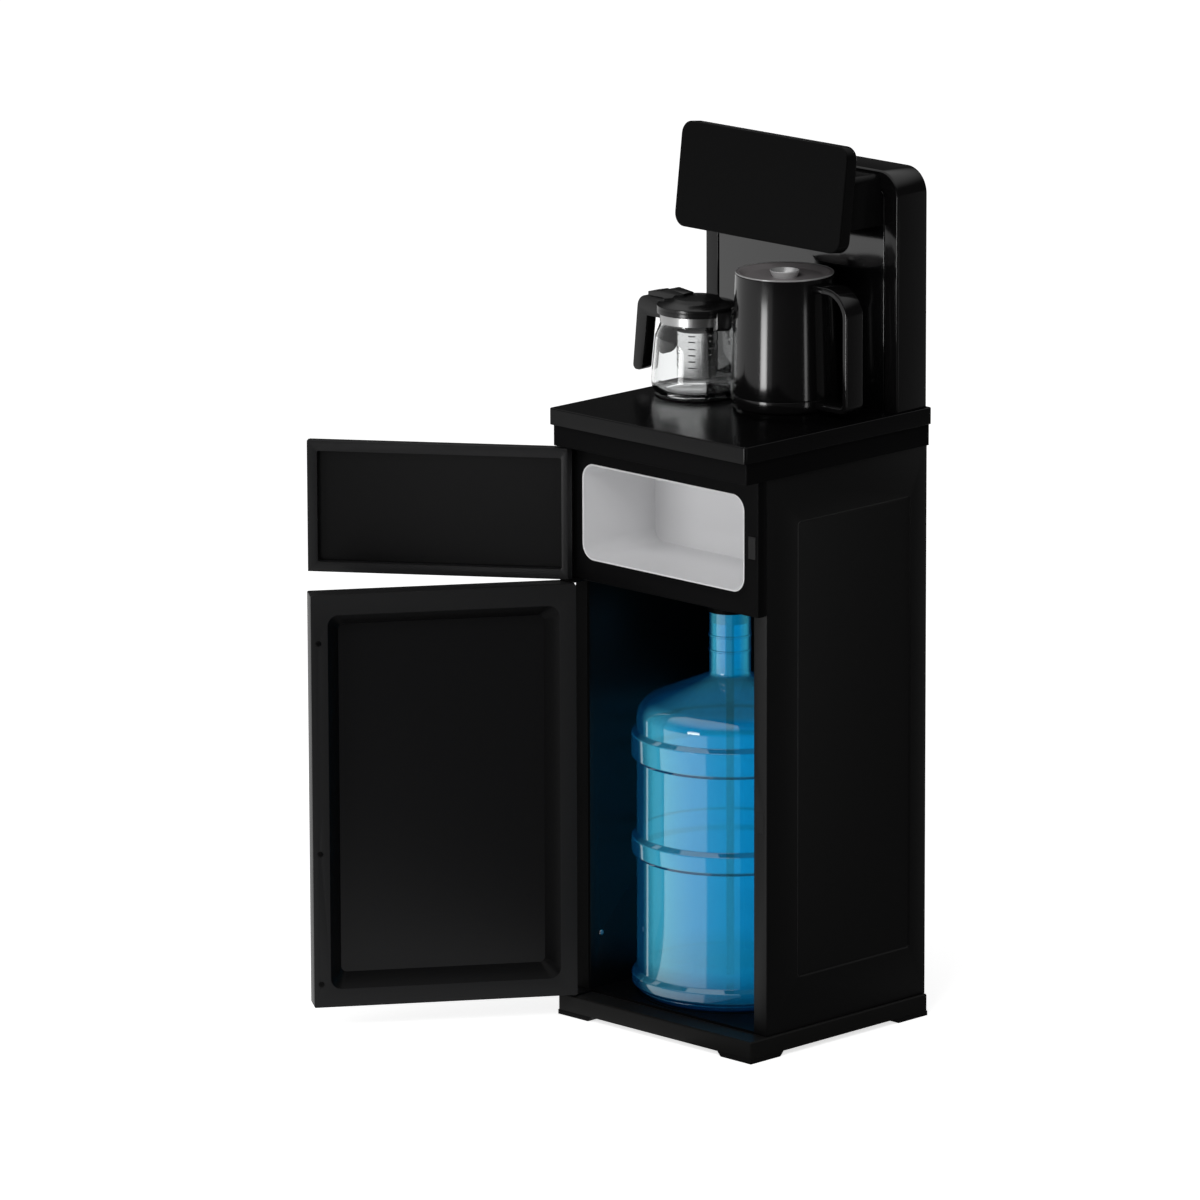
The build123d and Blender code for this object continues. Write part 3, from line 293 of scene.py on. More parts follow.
# %% Metals
STEEL_GRAIN = (1500, 0.06, 0.1)
PLATE_GRAIN = (700, 0.05, 0.1)
plated = finish("plated", (0.55, 0.55, 0.57), 0.3, PLATE_GRAIN, metallic=1.0)
blackened = finish("blackened", (0.003, 0.003, 0.003), 0.5, PLATE_GRAIN, specular=0.1)
band_steel = finish("band_steel", (0.42, 0.42, 0.42), 0.3, STEEL_GRAIN, metallic=1.0)
knob_steel = finish("knob_steel", (0.8, 0.8, 0.8), 0.25, STEEL_GRAIN, metallic=0.5)
steel = finish("steel", (0.75, 0.75, 0.75), 0.22, STEEL_GRAIN, metallic=1.0, stretch=0.05)
aluminium = finish("aluminium", (0.75, 0.75, 0.77), 0.32, (500, 0.08, 0.1), metallic=1.0)
board_green = finish("board_green", (0.02, 0.11, 0.04), 0.4, (600, 0.1, 0.1))
foam_grey = finish("foam_grey", (0.2, 0.2, 0.205), 0.85, (350, 0.4, 0.05), depth=0.0006)
print(len(bpy.data.materials) - BROUGHT, "finishes with the metals")

# %% [markdown]
# ### Coloured by depth, with painted shade and reflection
# Tinted plastic is paler where it is looked through once and darker at the edges, where the eye looks along
# the wall. A volume would do this exactly but render slowly, so a group mixes three colours instead. The
# paler teal between face-on and edge-on is a painted reflection, and the darkening on every slope and
# towards the bottom is painted shade. The angle comes from a Layer Weight node, which stays in the material
# itself and is passed in as Facing.

# %% Depth group
STOPS = (0.1, 0.3, 0.44, 0.64)
# Painted shade towards the bottom: low on the bottle the colour turns towards the edge-on colour.
LOW_SHADE = {"From_Min": 0.04, "From_Max": 0.085, "To_Min": 0.85, "To_Max": 0.0}


def make_depth_and_shade_group(name, colours):
    """Group: colours from face-on over side to edge-on, with painted shade on every slope and towards the
    bottom.
    """
    outputs = [(label, "NodeSocketColor") for label in colours]
    tree, start, end = new_group(name, {"Facing": 0.0, "Slope": 0.7}, outputs)
    # Painted shade on slopes: the more a face points up or down, the more of the edge-on colour.
    surface = node(tree, "ShaderNodeNewGeometry")
    parts = node(tree, "ShaderNodeSeparateXYZ")
    steep = node(tree, "ShaderNodeMath", operation="ABSOLUTE")
    under = node(tree, "ShaderNodeMath", operation="MULTIPLY", use_clamp=True)
    place = node(tree, "ShaderNodeTexCoord")
    upright = node(tree, "ShaderNodeSeparateXYZ")
    low = node(tree, "ShaderNodeMapRange", **LOW_SHADE)
    deep = node(tree, "ShaderNodeMath", operation="MAXIMUM")
    wire(surface, "Normal", parts, 0)
    wire(parts, "Z", steep, 0)
    wire(steep, 0, under, 0)
    wire(start, "Slope", under, 1)
    wire(place, "Object", upright, 0)
    wire(upright, "Z", low, "Value")
    wire(under, 0, deep, 0)
    wire(low, "Result", deep, 1)
    for label, (face_on, side, edge_on) in colours.items():
        ramp = ramp_of(tree, list(zip(STOPS, (face_on, side, side, edge_on))))
        mix = node(tree, "ShaderNodeMix", data_type="RGBA")
        mix.inputs[7].default_value = (*edge_on, 1)
        wire(start, "Facing", ramp, "Fac")
        wire(ramp, "Color", mix, 6)
        wire(deep, 0, mix, 0)
        wire(mix, 2, end, label)
    return tree


# %% [markdown]
# ### Bottle, glass and hose
# The bottle stands in a dark bay. Full transmission would show only that dark, so a small glow carries the
# blue, and a clear coat gives the sharp white reflections of polycarbonate. The teapot is plain glass. The
# hose is silicone, whose thin wall hardly bends the light, so its IOR is low.

# %% Clear materials
# Face-on, side and edge-on colours; the paler side colours are a painted reflection, and the Emission Color
# is a painted glow.
BLUE = {
    "Base Color": ((0.03, 0.58, 0.8), (0.2, 0.7, 0.8), (0.005, 0.06, 0.16)),
    "Emission Color": ((0.002, 0.22, 0.44), (0.05, 0.34, 0.46), (0.0005, 0.01, 0.04)),
}


def tint_and_shade(material, group):
    """Takes a material's colour, with its painted shade and reflection, and its painted glow from a group
    with outputs of those names.
    """
    tree = material.node_tree
    angle = node(tree, "ShaderNodeLayerWeight", Blend=0.5)
    placed = tree.nodes.new("ShaderNodeGroup")
    placed.node_tree = group
    wire(angle, "Facing", placed, "Facing")
    for socket in BLUE:
        wire(placed, socket, tree.nodes["Principled BSDF"], socket)
    return material


clear_glass = new_material("clear_glass", (0.98, 0.99, 0.99), 0.02, Transmission_Weight=1.0, IOR=1.45)
hose_clear = new_material("hose_clear", (0.9, 0.92, 0.93), 0.1, Transmission_Weight=0.95, IOR=1.1)
# The Emission Strength is a painted glow: the bottle gives off light though it is no lamp.
polycarbonate = new_material(
    "bottle_blue",
    (0.06, 0.6, 0.85),
    0.04,
    Transmission_Weight=0.86,
    IOR=1.2,
    Emission_Strength=0.3,
    Coat_Weight=1.0,
    Coat_IOR=1.9,
    Coat_Roughness=0.04,
)
bottle_blue = tint_and_shade(polycarbonate, make_depth_and_shade_group("blue_depth_and_shade", BLUE))
print(len(bpy.data.materials) - BROUGHT, "finishes in all")

# %% [markdown]
# ## Finishes of the carried-over nodes
# Every CAD node names a finish slot, such as coated steel or rubber, and each slot has its material. Some
# nodes share a slot but not a look, such as the kettle's lid, brown and lightened by a painted reflection,
# and these are listed by name.

# %% Slots and exceptions
FINISH = {
    "coated_black_steel": coat_black,
    "satin_black_plastic": satin_black,
    "gloss_black_plastic": gloss_black,
    "door_frame_plastic": frame_black,
    "white_liner_plastic": liner_white,
    "black_glass": glass_black,
    "zinc_steel": plated,
    "stainless": steel,
    "clear_glass": clear_glass,
    "blue_bottle": bottle_blue,
    "black_rubber": rubber,
    "hose_silicone": hose_clear,
    "board_green": board_green,
    "sink_aluminium": aluminium,
    "foam_grey": foam_grey,
}
OWN_FINISH = {
    "plinth": plinth_black,
    "upper_door_frame": frame_light,
    "upper_door_panel": panel_dark,
    "lower_door_panel": panel_black,
    "counter_slab": counter_gloss,
    "warming_plate": counter_gloss,
    "head_housing": head_black,
    "head_shell": head_black,
    "head_front": head_black,
    "kettle_lid": lid_brown_and_sheen,
    "kettle_knob": knob_steel,
    "teapot_band": band_steel,
    "teapot_lid": pot_black,
    "teapot_collar": pot_black,
    "teapot_handle": pot_black,
    "door_magnets": coat_black,
    "lower_door_screws": blackened,
    "bottom_hinge": blackened,
    "middle_hinge": blackened,
    "top_hinge": blackened,
}
SLOT_OF = {part["node"]: part["material_slot"] for part in frame["record"]["subparts"]}


def finish_of(name):
    """The material that a CAD node gets."""
    return OWN_FINISH.get(name) or FINISH[SLOT_OF[name]]


for name, piece in frame["nodes"].items():
    for slot in piece.material_slots:
        slot.material = finish_of(name)
print(len(frame["nodes"]), "nodes finished,", len(OWN_FINISH), "of them by name")

# %% [markdown]
# ## Pieces and the frame
# Each piece of the dressed object takes a finish and rides on a body, and most stand in the place of a
# CAD node. Small functions do all of it, so no piece can be forgotten, and none is left behind when a door
# swings.

# %% Dressing a piece
SHARP = radians(30)


def new_piece(name, mesh):
    """A mesh object in the scene."""
    made = bpy.data.objects.new(name, mesh)
    bpy.context.scene.collection.objects.link(made)
    return made


def body_of_node(name):
    """The body that a CAD node belongs to."""
    for body, nodes in frame["record"]["behaviour"]["bodies"].items():
        if name in nodes:
            return body
    raise KeyError(name)


def dress(made, name, material=None):
    """Gives a piece its material, by a CAD node's slot unless one is given, and smooth faces between sharp
    edges.
    """
    made.data.materials.clear()
    made.data.materials.append(material or finish_of(name))
    made.data.shade_smooth()
    made.data.set_sharp_from_angle(angle=SHARP)


def stands_for(made, *names, material=None):
    """Dresses a piece and puts it in the place of its CAD nodes, on their body."""
    dress(made, names[0], material)
    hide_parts(*names)
    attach(made, body_of_node(names[0]))


def sits_on(made, name, material):
    """Dresses a piece that is only here, and lets it ride with the CAD node that it sits on."""
    dress(made, name, material)
    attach(made, body_of_node(name))


# %% [markdown]
# ### From shape to mesh
# Meshes are drawn with bmesh or shaped by modifiers. Both end as a plain mesh object, because the frame's
# calls and the export want finished geometry.

# %% Mesh helpers
MERGE = 0.00001


def piece_of(shape, name):
    """A mesh object from a bmesh, which is freed."""
    mesh = bpy.data.meshes.new(name)
    shape.to_mesh(mesh)
    shape.free()
    return new_piece(name, mesh)


def block(name, size, place):
    """A cuboid of the given size in metres, put in place by a matrix."""
    shape = bmesh.new()
    bmesh.ops.create_cube(shape, size=1, matrix=place @ Matrix.Diagonal((*size, 1)))
    return piece_of(shape, name)


def evaluated_copy(piece, name):
    """Turns a piece with modifiers into a plain mesh object and removes the first."""
    bpy.context.view_layer.update()
    seen = piece.evaluated_get(bpy.context.evaluated_depsgraph_get())
    mesh = bpy.data.meshes.new_from_object(seen)
    mesh.name = name
    made = new_piece(name, mesh)
    bpy.data.objects.remove(piece)
    return made


# %% [markdown]
# ## Soft edges
# A moulding or a folded sheet has a small radius on every edge, and that radius is what catches the light
# on a black object. Fillets in CAD would do it too, but a Bevel modifier is quicker to change. It needs
# clean faces, so each shell is a copy of its CAD solid, merged, with its flat faces joined again. A face
# with a hole would close over it when joined, so the copy is first cut level through its middle, and the
# cut stays as a seam.

# %% Merged copy
CUT_OFFSET = 0.00037
FLAT = radians(0.5)


def merged_copy(name):
    """A copy of a CAD node with its vertices merged and its flat faces joined, holes kept."""
    low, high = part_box(name)
    mesh = frame["nodes"][name].data.copy()
    shape = bmesh.new()
    shape.from_mesh(mesh)
    bmesh.ops.remove_doubles(shape, verts=shape.verts, dist=MERGE)
    everything = [*shape.verts, *shape.edges, *shape.faces]
    middle = (0, 0, (low[2] + high[2]) / 2 + CUT_OFFSET)
    cut = bmesh.ops.bisect_plane(shape, geom=everything, plane_co=middle, plane_no=(0, 0, 1))
    for part in cut["geom_cut"]:
        if isinstance(part, bmesh.types.BMEdge):
            part.seam = True
    bmesh.ops.dissolve_limit(shape, angle_limit=FLAT, verts=shape.verts, edges=shape.edges, delimit={"SEAM"})
    shape.to_mesh(mesh)
    shape.free()
    return new_piece(name + "_raw", mesh)


# %% [markdown]
# ### Radius by radius
# The radii run from under half a millimetre on the doors' thin skins over about one on panels and mouldings
# to two on the handles, because a hand holds them. The Bevel takes only edges sharper than 30 degrees, so
# the rounded corners of the CAD stay as they are.

# %% Soft-edged shells
SOFT_EDGES = {
    "plinth": 1.0,
    "base_feet": 0.5,
    "side_panel_left": 1.2,
    "side_panel_right": 1.2,
    "front_frame": 1.0,
    "cup_liner": 0.9,
    "counter_rim": 1.0,
    "counter_slab": 0.4,
    "lower_door_skin": 0.4,
    "lower_door_frame": 0.8,
    "upper_door_skin": 0.4,
    "upper_door_frame": 0.8,
    "column_shell": 0.6,
    "column_panel": 0.5,
    "head_shell": 0.6,
    "head_housing": 1.0,
    "kettle_handle": 2.0,
    "teapot_handle": 1.8,
    "teapot_lid": 0.7,
    "teapot_collar": 0.5,
}
BEVEL_STEPS = 3


def soften(name, radius):
    """Replaces a CAD node with a soft-edged copy of itself."""
    piece = merged_copy(name)
    bevel = piece.modifiers.new("edge", "BEVEL")
    bevel.width = radius
    bevel.segments = BEVEL_STEPS
    bevel.limit_method = "ANGLE"
    bevel.angle_limit = SHARP
    stands_for(evaluated_copy(piece, name + "_soft"), name)


for name, radius in SOFT_EDGES.items():
    soften(name, radius * MM)
print(len(SOFT_EDGES), "soft-edged shells")

# %% [markdown]
# ### Recess of the lower door, with painted shade
# The liner's sides around the recess are painted darker than its rim, as painted shade for the shadow that
# falls in the recess. A second object could carry that painted shade, but the liner is one moulding, so its
# faces get a second material. The door stands open, so its own directions are along the leaf and out of
# it; a face inside the rim that doesn't look straight out is a side.

# %% Recess
LEAF_TURN = radians(-125)
FRAME_RIM = 0.02
STRAIGHT_OUT = 0.97


def paint_recess_shade(piece, material):
    """Gives the sloping sides of the recess a darker material, as painted shade."""
    along = Vector((cos(LEAF_TURN), sin(LEAF_TURN), 0))
    out = Vector((-sin(LEAF_TURN), cos(LEAF_TURN), 0))
    reach = [vertex.co.dot(along) for vertex in piece.data.vertices]
    heights = [vertex.co.z for vertex in piece.data.vertices]
    left, right = min(reach) + FRAME_RIM, max(reach) - FRAME_RIM
    foot, top = min(heights) + FRAME_RIM, max(heights) - FRAME_RIM
    piece.data.materials.append(material)
    count = 0
    for face in piece.data.polygons:
        inside = left < face.center.dot(along) < right and foot < face.center.z < top
        if inside and abs(face.normal.dot(out)) < STRAIGHT_OUT:
            face.material_index = 1
            count += 1
    print(count, "faces of the recess darkened")


# The recess's sloping sides get the darker panel material as painted shade.
paint_recess_shade(bpy.data.objects["lower_door_frame_soft"], panel_dark)

# %% [markdown]
# ### Door seal, with painted shade
# A flat rubber seal is stuck on the hinge jamb of the bay. It closes the slit between the open door's heel
# and the side panel and covers the whole jamb, so its matt black also stands as painted shade where shade
# falls on the jamb. It is a hair thinner than the room behind the closed door, and runs a little past its
# neighbours' rounded edges at both ends. A plain block is enough, because only its face is ever seen.

# %% Seal
SEAL_THICK = 1.6 * MM
SEAL_INSET = 2.0 * MM
SEAL_TUCK = 0.9 * MM


def make_seal_and_shade():
    """The seal on the front edge of the left side panel, over the height of the lower door; its black is
    also painted shade on the jamb.
    """
    low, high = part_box("side_panel_left")
    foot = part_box("plinth")[1][2] - SEAL_TUCK
    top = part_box("front_frame")[0][2] + SEAL_TUCK
    width = high[0] - low[0] - SEAL_INSET
    centre = (low[0] + width / 2, low[1] - SEAL_THICK / 2, (foot + top) / 2)
    # As wide as the jamb, this black strip is also painted shade on it.
    seal = block("door_seal", (width, SEAL_THICK, top - foot), Matrix.Translation(centre))
    sits_on(seal, "side_panel_left", rubber)
    print("seal", round(width / MM, 1), "x", round((top - foot) / MM, 1), "mm")


make_seal_and_shade()

# %% [markdown]
# ## Turned pieces
# The kettle, the glass jar and the bottle are bodies of revolution, blown or pressed round. Their outlines
# are short lists of radius and height in millimetres; a third number rounds that corner with an arc. A
# Screw modifier could turn an outline too, but a function also closes the poles and the seam.

# %% Rounded outline
ARC_STEPS = 6


def rounded(points):
    """An outline with an arc in place of each corner that has a radius."""
    out = []
    for index, point in enumerate(points):
        if len(point) == 2:
            out.append(point)
            continue
        here = Vector(point[:2])
        towards = (Vector(points[index - 1][:2]) - here).normalized()
        onwards = (Vector(points[(index + 1) % len(points)][:2]) - here).normalized()
        half = towards.angle(onwards) / 2
        centre = here + (towards + onwards).normalized() * (point[2] / sin(half))
        first = here + towards * (point[2] / tan(half)) - centre
        last = here + onwards * (point[2] / tan(half)) - centre
        turn = -first.angle_signed(last)
        for step in range(ARC_STEPS + 1):
            angle = turn * step / ARC_STEPS
            x = first.x * cos(angle) - first.y * sin(angle)
            y = first.x * sin(angle) + first.y * cos(angle)
            out.append((centre.x + x, centre.y + y))
    return out


# %% [markdown]
# ### Turning an outline
# Every point of the outline becomes a ring of vertices, or a single one where it lies on the axis, and
# neighbouring rings are joined by faces. The order of the points doesn't say which side is out, so the
# normals are made to agree at the end.

# %% Lathe
ON_AXIS = 0.001


def lathe(name, points, centre, steps=144):
    """A piece turned about the upright line at centre from an outline in millimetres."""
    outline = rounded(points)
    shape = bmesh.new()
    rings = []
    for radius, height in outline:
        ring = []
        for step in range(1 if radius < ON_AXIS else steps):
            angle = 2 * pi * step / steps
            x = centre[0] + radius * MM * cos(angle)
            y = centre[1] + radius * MM * sin(angle)
            ring.append(shape.verts.new((x, y, height * MM)))
        rings.append(ring)
    pairs = list(zip(rings, rings[1:]))
    if outline[0][0] >= ON_AXIS:
        pairs.append((rings[-1], rings[0]))
    for ring, after in pairs:
        for step in range(steps):
            corners = [ring[step % len(ring)], ring[(step + 1) % len(ring)]]
            corners += [after[(step + 1) % len(after)], after[step % len(after)]]
            corners = list(dict.fromkeys(corners))
            if len(corners) > 2:
                shape.faces.new(corners)
    bmesh.ops.recalc_face_normals(shape, faces=shape.faces)
    return piece_of(shape, name)


def measured(name):
    """Axis in metres, and radius, foot and top in millimetres, of a round CAD node."""
    low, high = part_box(name)
    axis = ((low[0] + high[0]) / 2, (low[1] + high[1]) / 2)
    return axis, (high[1] - low[1]) / 2 / MM, low[2] / MM, high[2] / MM


# %% [markdown]
# ## Kettle
# A slightly conical body with a rolled rim, drawn out into a pouring beak on the side away from the handle.
# The wall is turned first. The beak is then pulled out of it vertex by vertex, most at the rim and fading
# downwards and to the sides, much as a spout is pressed into a rolled sheet.

# %% Kettle wall
BEAK_REACH = 7.0
BEAK_DROP = 26.0
BEAK_HALF = 0.27
BEAK_FADE = 1.6
NEAR_AXIS = 0.0001
KETTLE_WALL = 2.5
KETTLE_FLOOR = 3
KETTLE_AXIS, BASE_R, BASE_FOOT, SEAM = measured("kettle_base")
BODY_R = measured("kettle_body")[1]
RIM_OUTSIDE = 0.5
RIM_BELOW = 1.5
RIM_R = measured("kettle_lid")[1] + RIM_OUTSIDE
RIM = measured("kettle_lid")[3] - RIM_BELOW


def draw_beak(piece):
    """Pulls the wall outwards near the rim, on the side that faces -X."""
    for vertex in piece.data.vertices:
        x, y = vertex.co.x - KETTLE_AXIS[0], vertex.co.y - KETTLE_AXIS[1]
        rise = (vertex.co.z / MM - RIM + BEAK_DROP) / BEAK_DROP
        off = abs(y) / max(-x, NEAR_AXIS)
        if x > 0 or rise <= 0 or off > BEAK_HALF:
            continue
        share = cos(off / BEAK_HALF * pi / 2) ** 2 * rise ** BEAK_FADE
        vertex.co.x -= BEAK_REACH * MM * share


wall = [
    (0, SEAM),
    (BODY_R, SEAM, 0.8),
    (RIM_R, RIM, 0.9),
    (RIM_R - KETTLE_WALL, RIM, 0.9),
    (BODY_R - KETTLE_WALL, SEAM + KETTLE_FLOOR, 5),
    (0, SEAM + KETTLE_FLOOR),
]
kettle_wall = lathe("kettle_wall", wall, KETTLE_AXIS, steps=200)
draw_beak(kettle_wall)
stands_for(kettle_wall, "kettle_body")
print("kettle wall from", round(SEAM, 1), "to", round(RIM, 1), "mm, rim radius", round(RIM_R, 1))

# %% [markdown]
# ### Base ring
# The moulded base meets the wall at a fine dark seam. The seam is a real step of half a millimetre, because
# a drawn line would not catch shadow.

# %% Kettle base ring
SOCKET_R = 16
SOCKET_H = 11
SEAM_GAP = 0.5
ring = [
    (SOCKET_R, BASE_FOOT),
    (BASE_R + 0.2, BASE_FOOT, 6),
    (BODY_R - 0.1, SEAM - SEAM_GAP, 0.5),
    (BODY_R - 2, SEAM - SEAM_GAP),
    (BODY_R - 2, SEAM),
    (0, SEAM),
    (0, BASE_FOOT + SOCKET_H),
    (SOCKET_R, BASE_FOOT + SOCKET_H),
]
stands_for(lathe("kettle_ring", ring, KETTLE_AXIS), "kettle_base", material=gloss_black)
print("base ring", round(SEAM - BASE_FOOT, 1), "mm high")

# %% [markdown]
# ### Lid, painted rim highlight and funnel
# The lid is a dished disc with a plug that drops into the rim. A thin grey ring runs round its edge as a
# painted highlight of the polished rim, and a steel funnel in its middle lets the nozzle fill the kettle
# with the lid on.

# %% Kettle lid
PLUG_R = RIM_R - 3.3
LID_EDGE = RIM_R - 0.6
lid = [
    (15, RIM - 5, 0.5),
    (PLUG_R - 9, RIM - 4, 6),
    (PLUG_R - 2, RIM + 1.2, 2),
    (LID_EDGE, RIM + 1.4, 0.6),
    (LID_EDGE, RIM),
    (PLUG_R, RIM, 0.4),
    (PLUG_R, RIM - 11, 1),
    (15, RIM - 13),
]
stands_for(lathe("kettle_cover", lid, KETTLE_AXIS), "kettle_lid")
# A grey ring as a painted highlight of the polished rim.
highlight_ring = [
    (RIM_R - 1.4, RIM + 1.3),
    (RIM_R - 1.4, RIM + 1.9, 0.2),
    (RIM_R - 0.3, RIM + 1.9, 0.4),
    (RIM_R - 0.3, RIM + 0.4, 0.2),
    (RIM_R - 0.7, RIM + 0.4),
    (RIM_R - 0.7, RIM + 1.3),
]
sits_on(lathe("kettle_rim_line", highlight_ring, KETTLE_AXIS), "kettle_lid", rim_highlight_grey)
funnel = [
    (9, RIM - 13),
    (15, RIM - 13),
    (15, RIM - 5, 2),
    (19, RIM + 3.5, 0.7),
    (17.2, RIM + 3.5, 0.7),
    (13, RIM - 4, 3),
    (9, RIM - 7, 1),
]
stands_for(lathe("kettle_funnel", funnel, KETTLE_AXIS, steps=96), "kettle_knob")
print("lid plug radius", round(PLUG_R, 1), "mm")

# %% [markdown]
# ## Teapot
# A jar of thick glass with a heavy round foot. Glass needs both of its walls, because the light bends at
# each, so one outline goes up the outside and down the inside.

# %% Jar
JAR_AXIS, JAR_R, JAR_FOOT, JAR_TOP = measured("teapot_glass")
BAND_R, BAND_LOW, BAND_TOP = measured("teapot_band")[1:]
NECK_INSET = 1.05
JAR_NECK = BAND_R - NECK_INSET
NECK_WALL = 2.4
SIDE_WALL = 2.6
jar = [
    (0, JAR_FOOT + 0.8),
    (34, JAR_FOOT + 0.8, 3),
    (40, JAR_FOOT, 2),
    (JAR_R, JAR_FOOT, 15),
    (JAR_R, JAR_FOOT + 22, 16),
    (JAR_R - 5, JAR_FOOT + 74, 9),
    (JAR_NECK, BAND_LOW - 3, 6),
    (JAR_NECK, JAR_TOP),
    (JAR_NECK - NECK_WALL, JAR_TOP),
    (JAR_NECK - NECK_WALL, BAND_LOW - 3, 6),
    (JAR_R - 7.5, JAR_FOOT + 74, 8),
    (JAR_R - SIDE_WALL, JAR_FOOT + 22, 14),
    (JAR_R - SIDE_WALL, JAR_FOOT + 5, 12),
    (0, JAR_FOOT + 4.6),
]
stands_for(lathe("teapot_jar", jar, JAR_AXIS), "teapot_glass")
print("jar", round(2 * JAR_R, 1), "mm wide,", round(JAR_TOP - JAR_FOOT, 1), "mm tall")

# %% [markdown]
# ### Neck band and gasket
# A spring band of thin steel clamps the collar round the neck, and a dark gasket shows through the glass
# where the steel infuser hangs from the lid. Both are plain rings with softened edges.

# %% Band and gasket
BAND_THICK = 1
GASKET_R = (25.1, 28.5)
band = [
    (BAND_R, BAND_LOW, 0.5),
    (BAND_R, BAND_TOP, 0.5),
    (BAND_R - BAND_THICK, BAND_TOP),
    (BAND_R - BAND_THICK, BAND_LOW),
]
stands_for(lathe("teapot_neck_band", band, JAR_AXIS), "teapot_band")
gasket = [
    (GASKET_R[0], BAND_LOW - 12, 0.8),
    (GASKET_R[1], BAND_LOW - 10, 1),
    (GASKET_R[1], BAND_LOW - 1, 1),
    (GASKET_R[0], BAND_LOW, 0.6),
]
sits_on(lathe("infuser_gasket", gasket, JAR_AXIS, steps=96), "teapot_lid", rubber)
print("band", round(BAND_TOP - BAND_LOW, 1), "mm high")

# %% [markdown]
# ## Water bottle
# A blown bottle with three proud bands, a conical shoulder and a beaded neck. Sculpting it would take long
# and stay uneven, so it is turned like the jar. The same function gives the outside and, drawn in by the
# wall, the inside, where the neck's beads don't show.

# %% Bottle
BANDS = ((40.0, 62.0), (208.0, 238.0), (332.0, 371.0))
BAND_PROUD = 6.5
SLOPE = 5.0
NECK = 26.0
BEADS = (472.0, 491.0)
BOTTLE_WALL = 2.0
WALL_DROP = 0.67


def bottle_side(wide, wall):
    """The bottle's side from its foot to its mouth, drawn in by the wall."""
    r, slim, neck = wide - wall, wide - BAND_PROUD - wall, NECK - wall
    drop = wall * WALL_DROP
    side = [(0, 43 + wall), (70, 39 + wall, 12), (98, 31 + wall, 4), (108, 31 + wall, 6), (slim, 38.6)]
    for low, high in BANDS:
        side += [(slim, low), (r, low + SLOPE, 2.2), (r, high - SLOPE, 2.2), (slim, high, 1.5)]
    side += [(slim, 403 - drop, 28 - wall), (neck, 441 - drop, 5)]
    if wall == 0:
        for bead in BEADS:
            side += [(neck, bead - 1.6), (neck + 1.2, bead - 0.8)]
            side += [(neck + 1.2, bead + 0.8), (neck, bead + 1.6)]
    return side


def make_bottle():
    """The bottle's shell, up the outside and down the inside."""
    axis, wide, foot, top = measured("bottle_shell")
    bore = NECK - BOTTLE_WALL
    outside = rounded([*bottle_side(wide, 0), (NECK, top)])
    inside = rounded([*bottle_side(wide, BOTTLE_WALL), (bore, top)])
    outline = outside + [(bore, top)] + inside[-2::-1]
    stands_for(lathe("water_bottle", outline, axis, steps=192), "bottle_shell")
    print("bottle", round(2 * wide), "mm wide,", round(top - foot), "mm tall,", len(outline), "points")


make_bottle()

# %% [markdown]
# ## Screws, all from one head
# Twenty screws share one pan head with a cross recess, which two crossed blocks cut out of a turned dome. A
# picture of the cross would be quicker, but it would catch no light. The head is made once, on the origin.

# %% Screw head
HEAD_R = 3.6
HEAD_H = 1.5
CROSS = (4.2 * MM, 0.8 * MM, 1.4 * MM)


def make_screw_head():
    """A pan head on the origin that faces +Z, with a cross recess cut into it."""
    dome = [(0, 0), (HEAD_R, 0, 0.2), (HEAD_R, 0.7, 0.5), (HEAD_R - 1, HEAD_H, 0.6), (0, HEAD_H)]
    head = lathe("screw_dome", dome, (0, 0), steps=32)
    cutters = []
    for turn in range(2):
        place = Matrix.Translation((0, 0, HEAD_H * MM)) @ Matrix.Rotation(turn * pi / 2, 4, "Z")
        cutters.append(block(f"cutter_{turn}", CROSS, place))
        cut = head.modifiers.new(f"cross_{turn}", "BOOLEAN")
        cut.operation = "DIFFERENCE"
        cut.object = cutters[-1]
    made = evaluated_copy(head, "screw_head")
    for cutter in cutters:
        bpy.data.objects.remove(cutter)
    print("screw head", len(made.data.polygons), "faces")
    return made


# %% [markdown]
# ### Geometry Nodes, begun and ended the same way
# Two trees follow, one for the screws and one for the hose. Each starts from named inputs and ends by
# making its copies real and giving them a material, because the export drops instances. A modifier's inputs
# are set by their identifiers, which the interface lists beside the names.

# %% Tree helpers
def new_tree(name, inputs):
    """An empty Geometry Nodes tree with Geometry in and out, and more inputs by name and kind."""
    tree = bpy.data.node_groups.new(name, "GeometryNodeTree")
    for label, kind in {"Geometry": "NodeSocketGeometry", **inputs}.items():
        tree.interface.new_socket(label, in_out="INPUT", socket_type=kind)
    tree.interface.new_socket("Geometry", in_out="OUTPUT", socket_type="NodeSocketGeometry")
    return tree, tree.nodes.new("NodeGroupInput"), tree.nodes.new("NodeGroupOutput")


def end_tree(tree, last, start, end):
    """Makes what the last node gives real, adds the Material input and puts it out."""
    real = tree.nodes.new("GeometryNodeRealizeInstances")
    paint = tree.nodes.new("GeometryNodeSetMaterial")
    wire(last, 0, real, "Geometry")
    wire(real, "Geometry", paint, "Geometry")
    wire(start, "Material", paint, "Material")
    wire(paint, "Geometry", end, "Geometry")


def run_tree(piece, tree, values):
    """Adds a tree to a piece as a modifier, with its inputs set by identifier."""
    modifier = piece.modifiers.new(tree.name, "NODES")
    modifier.node_group = tree
    for item in tree.interface.items_tree:
        if item.in_out == "INPUT" and item.name in values:
            modifier[item.identifier] = values[item.name]


# %% [markdown]
# ### A head on every point
# The points are a mesh of single vertices, one where each head sits. The tree puts the head on them, turned
# to face out of the surface. Copying the object in a loop would work as well, but the tree keeps one head
# for all and can be reused for any fastener.

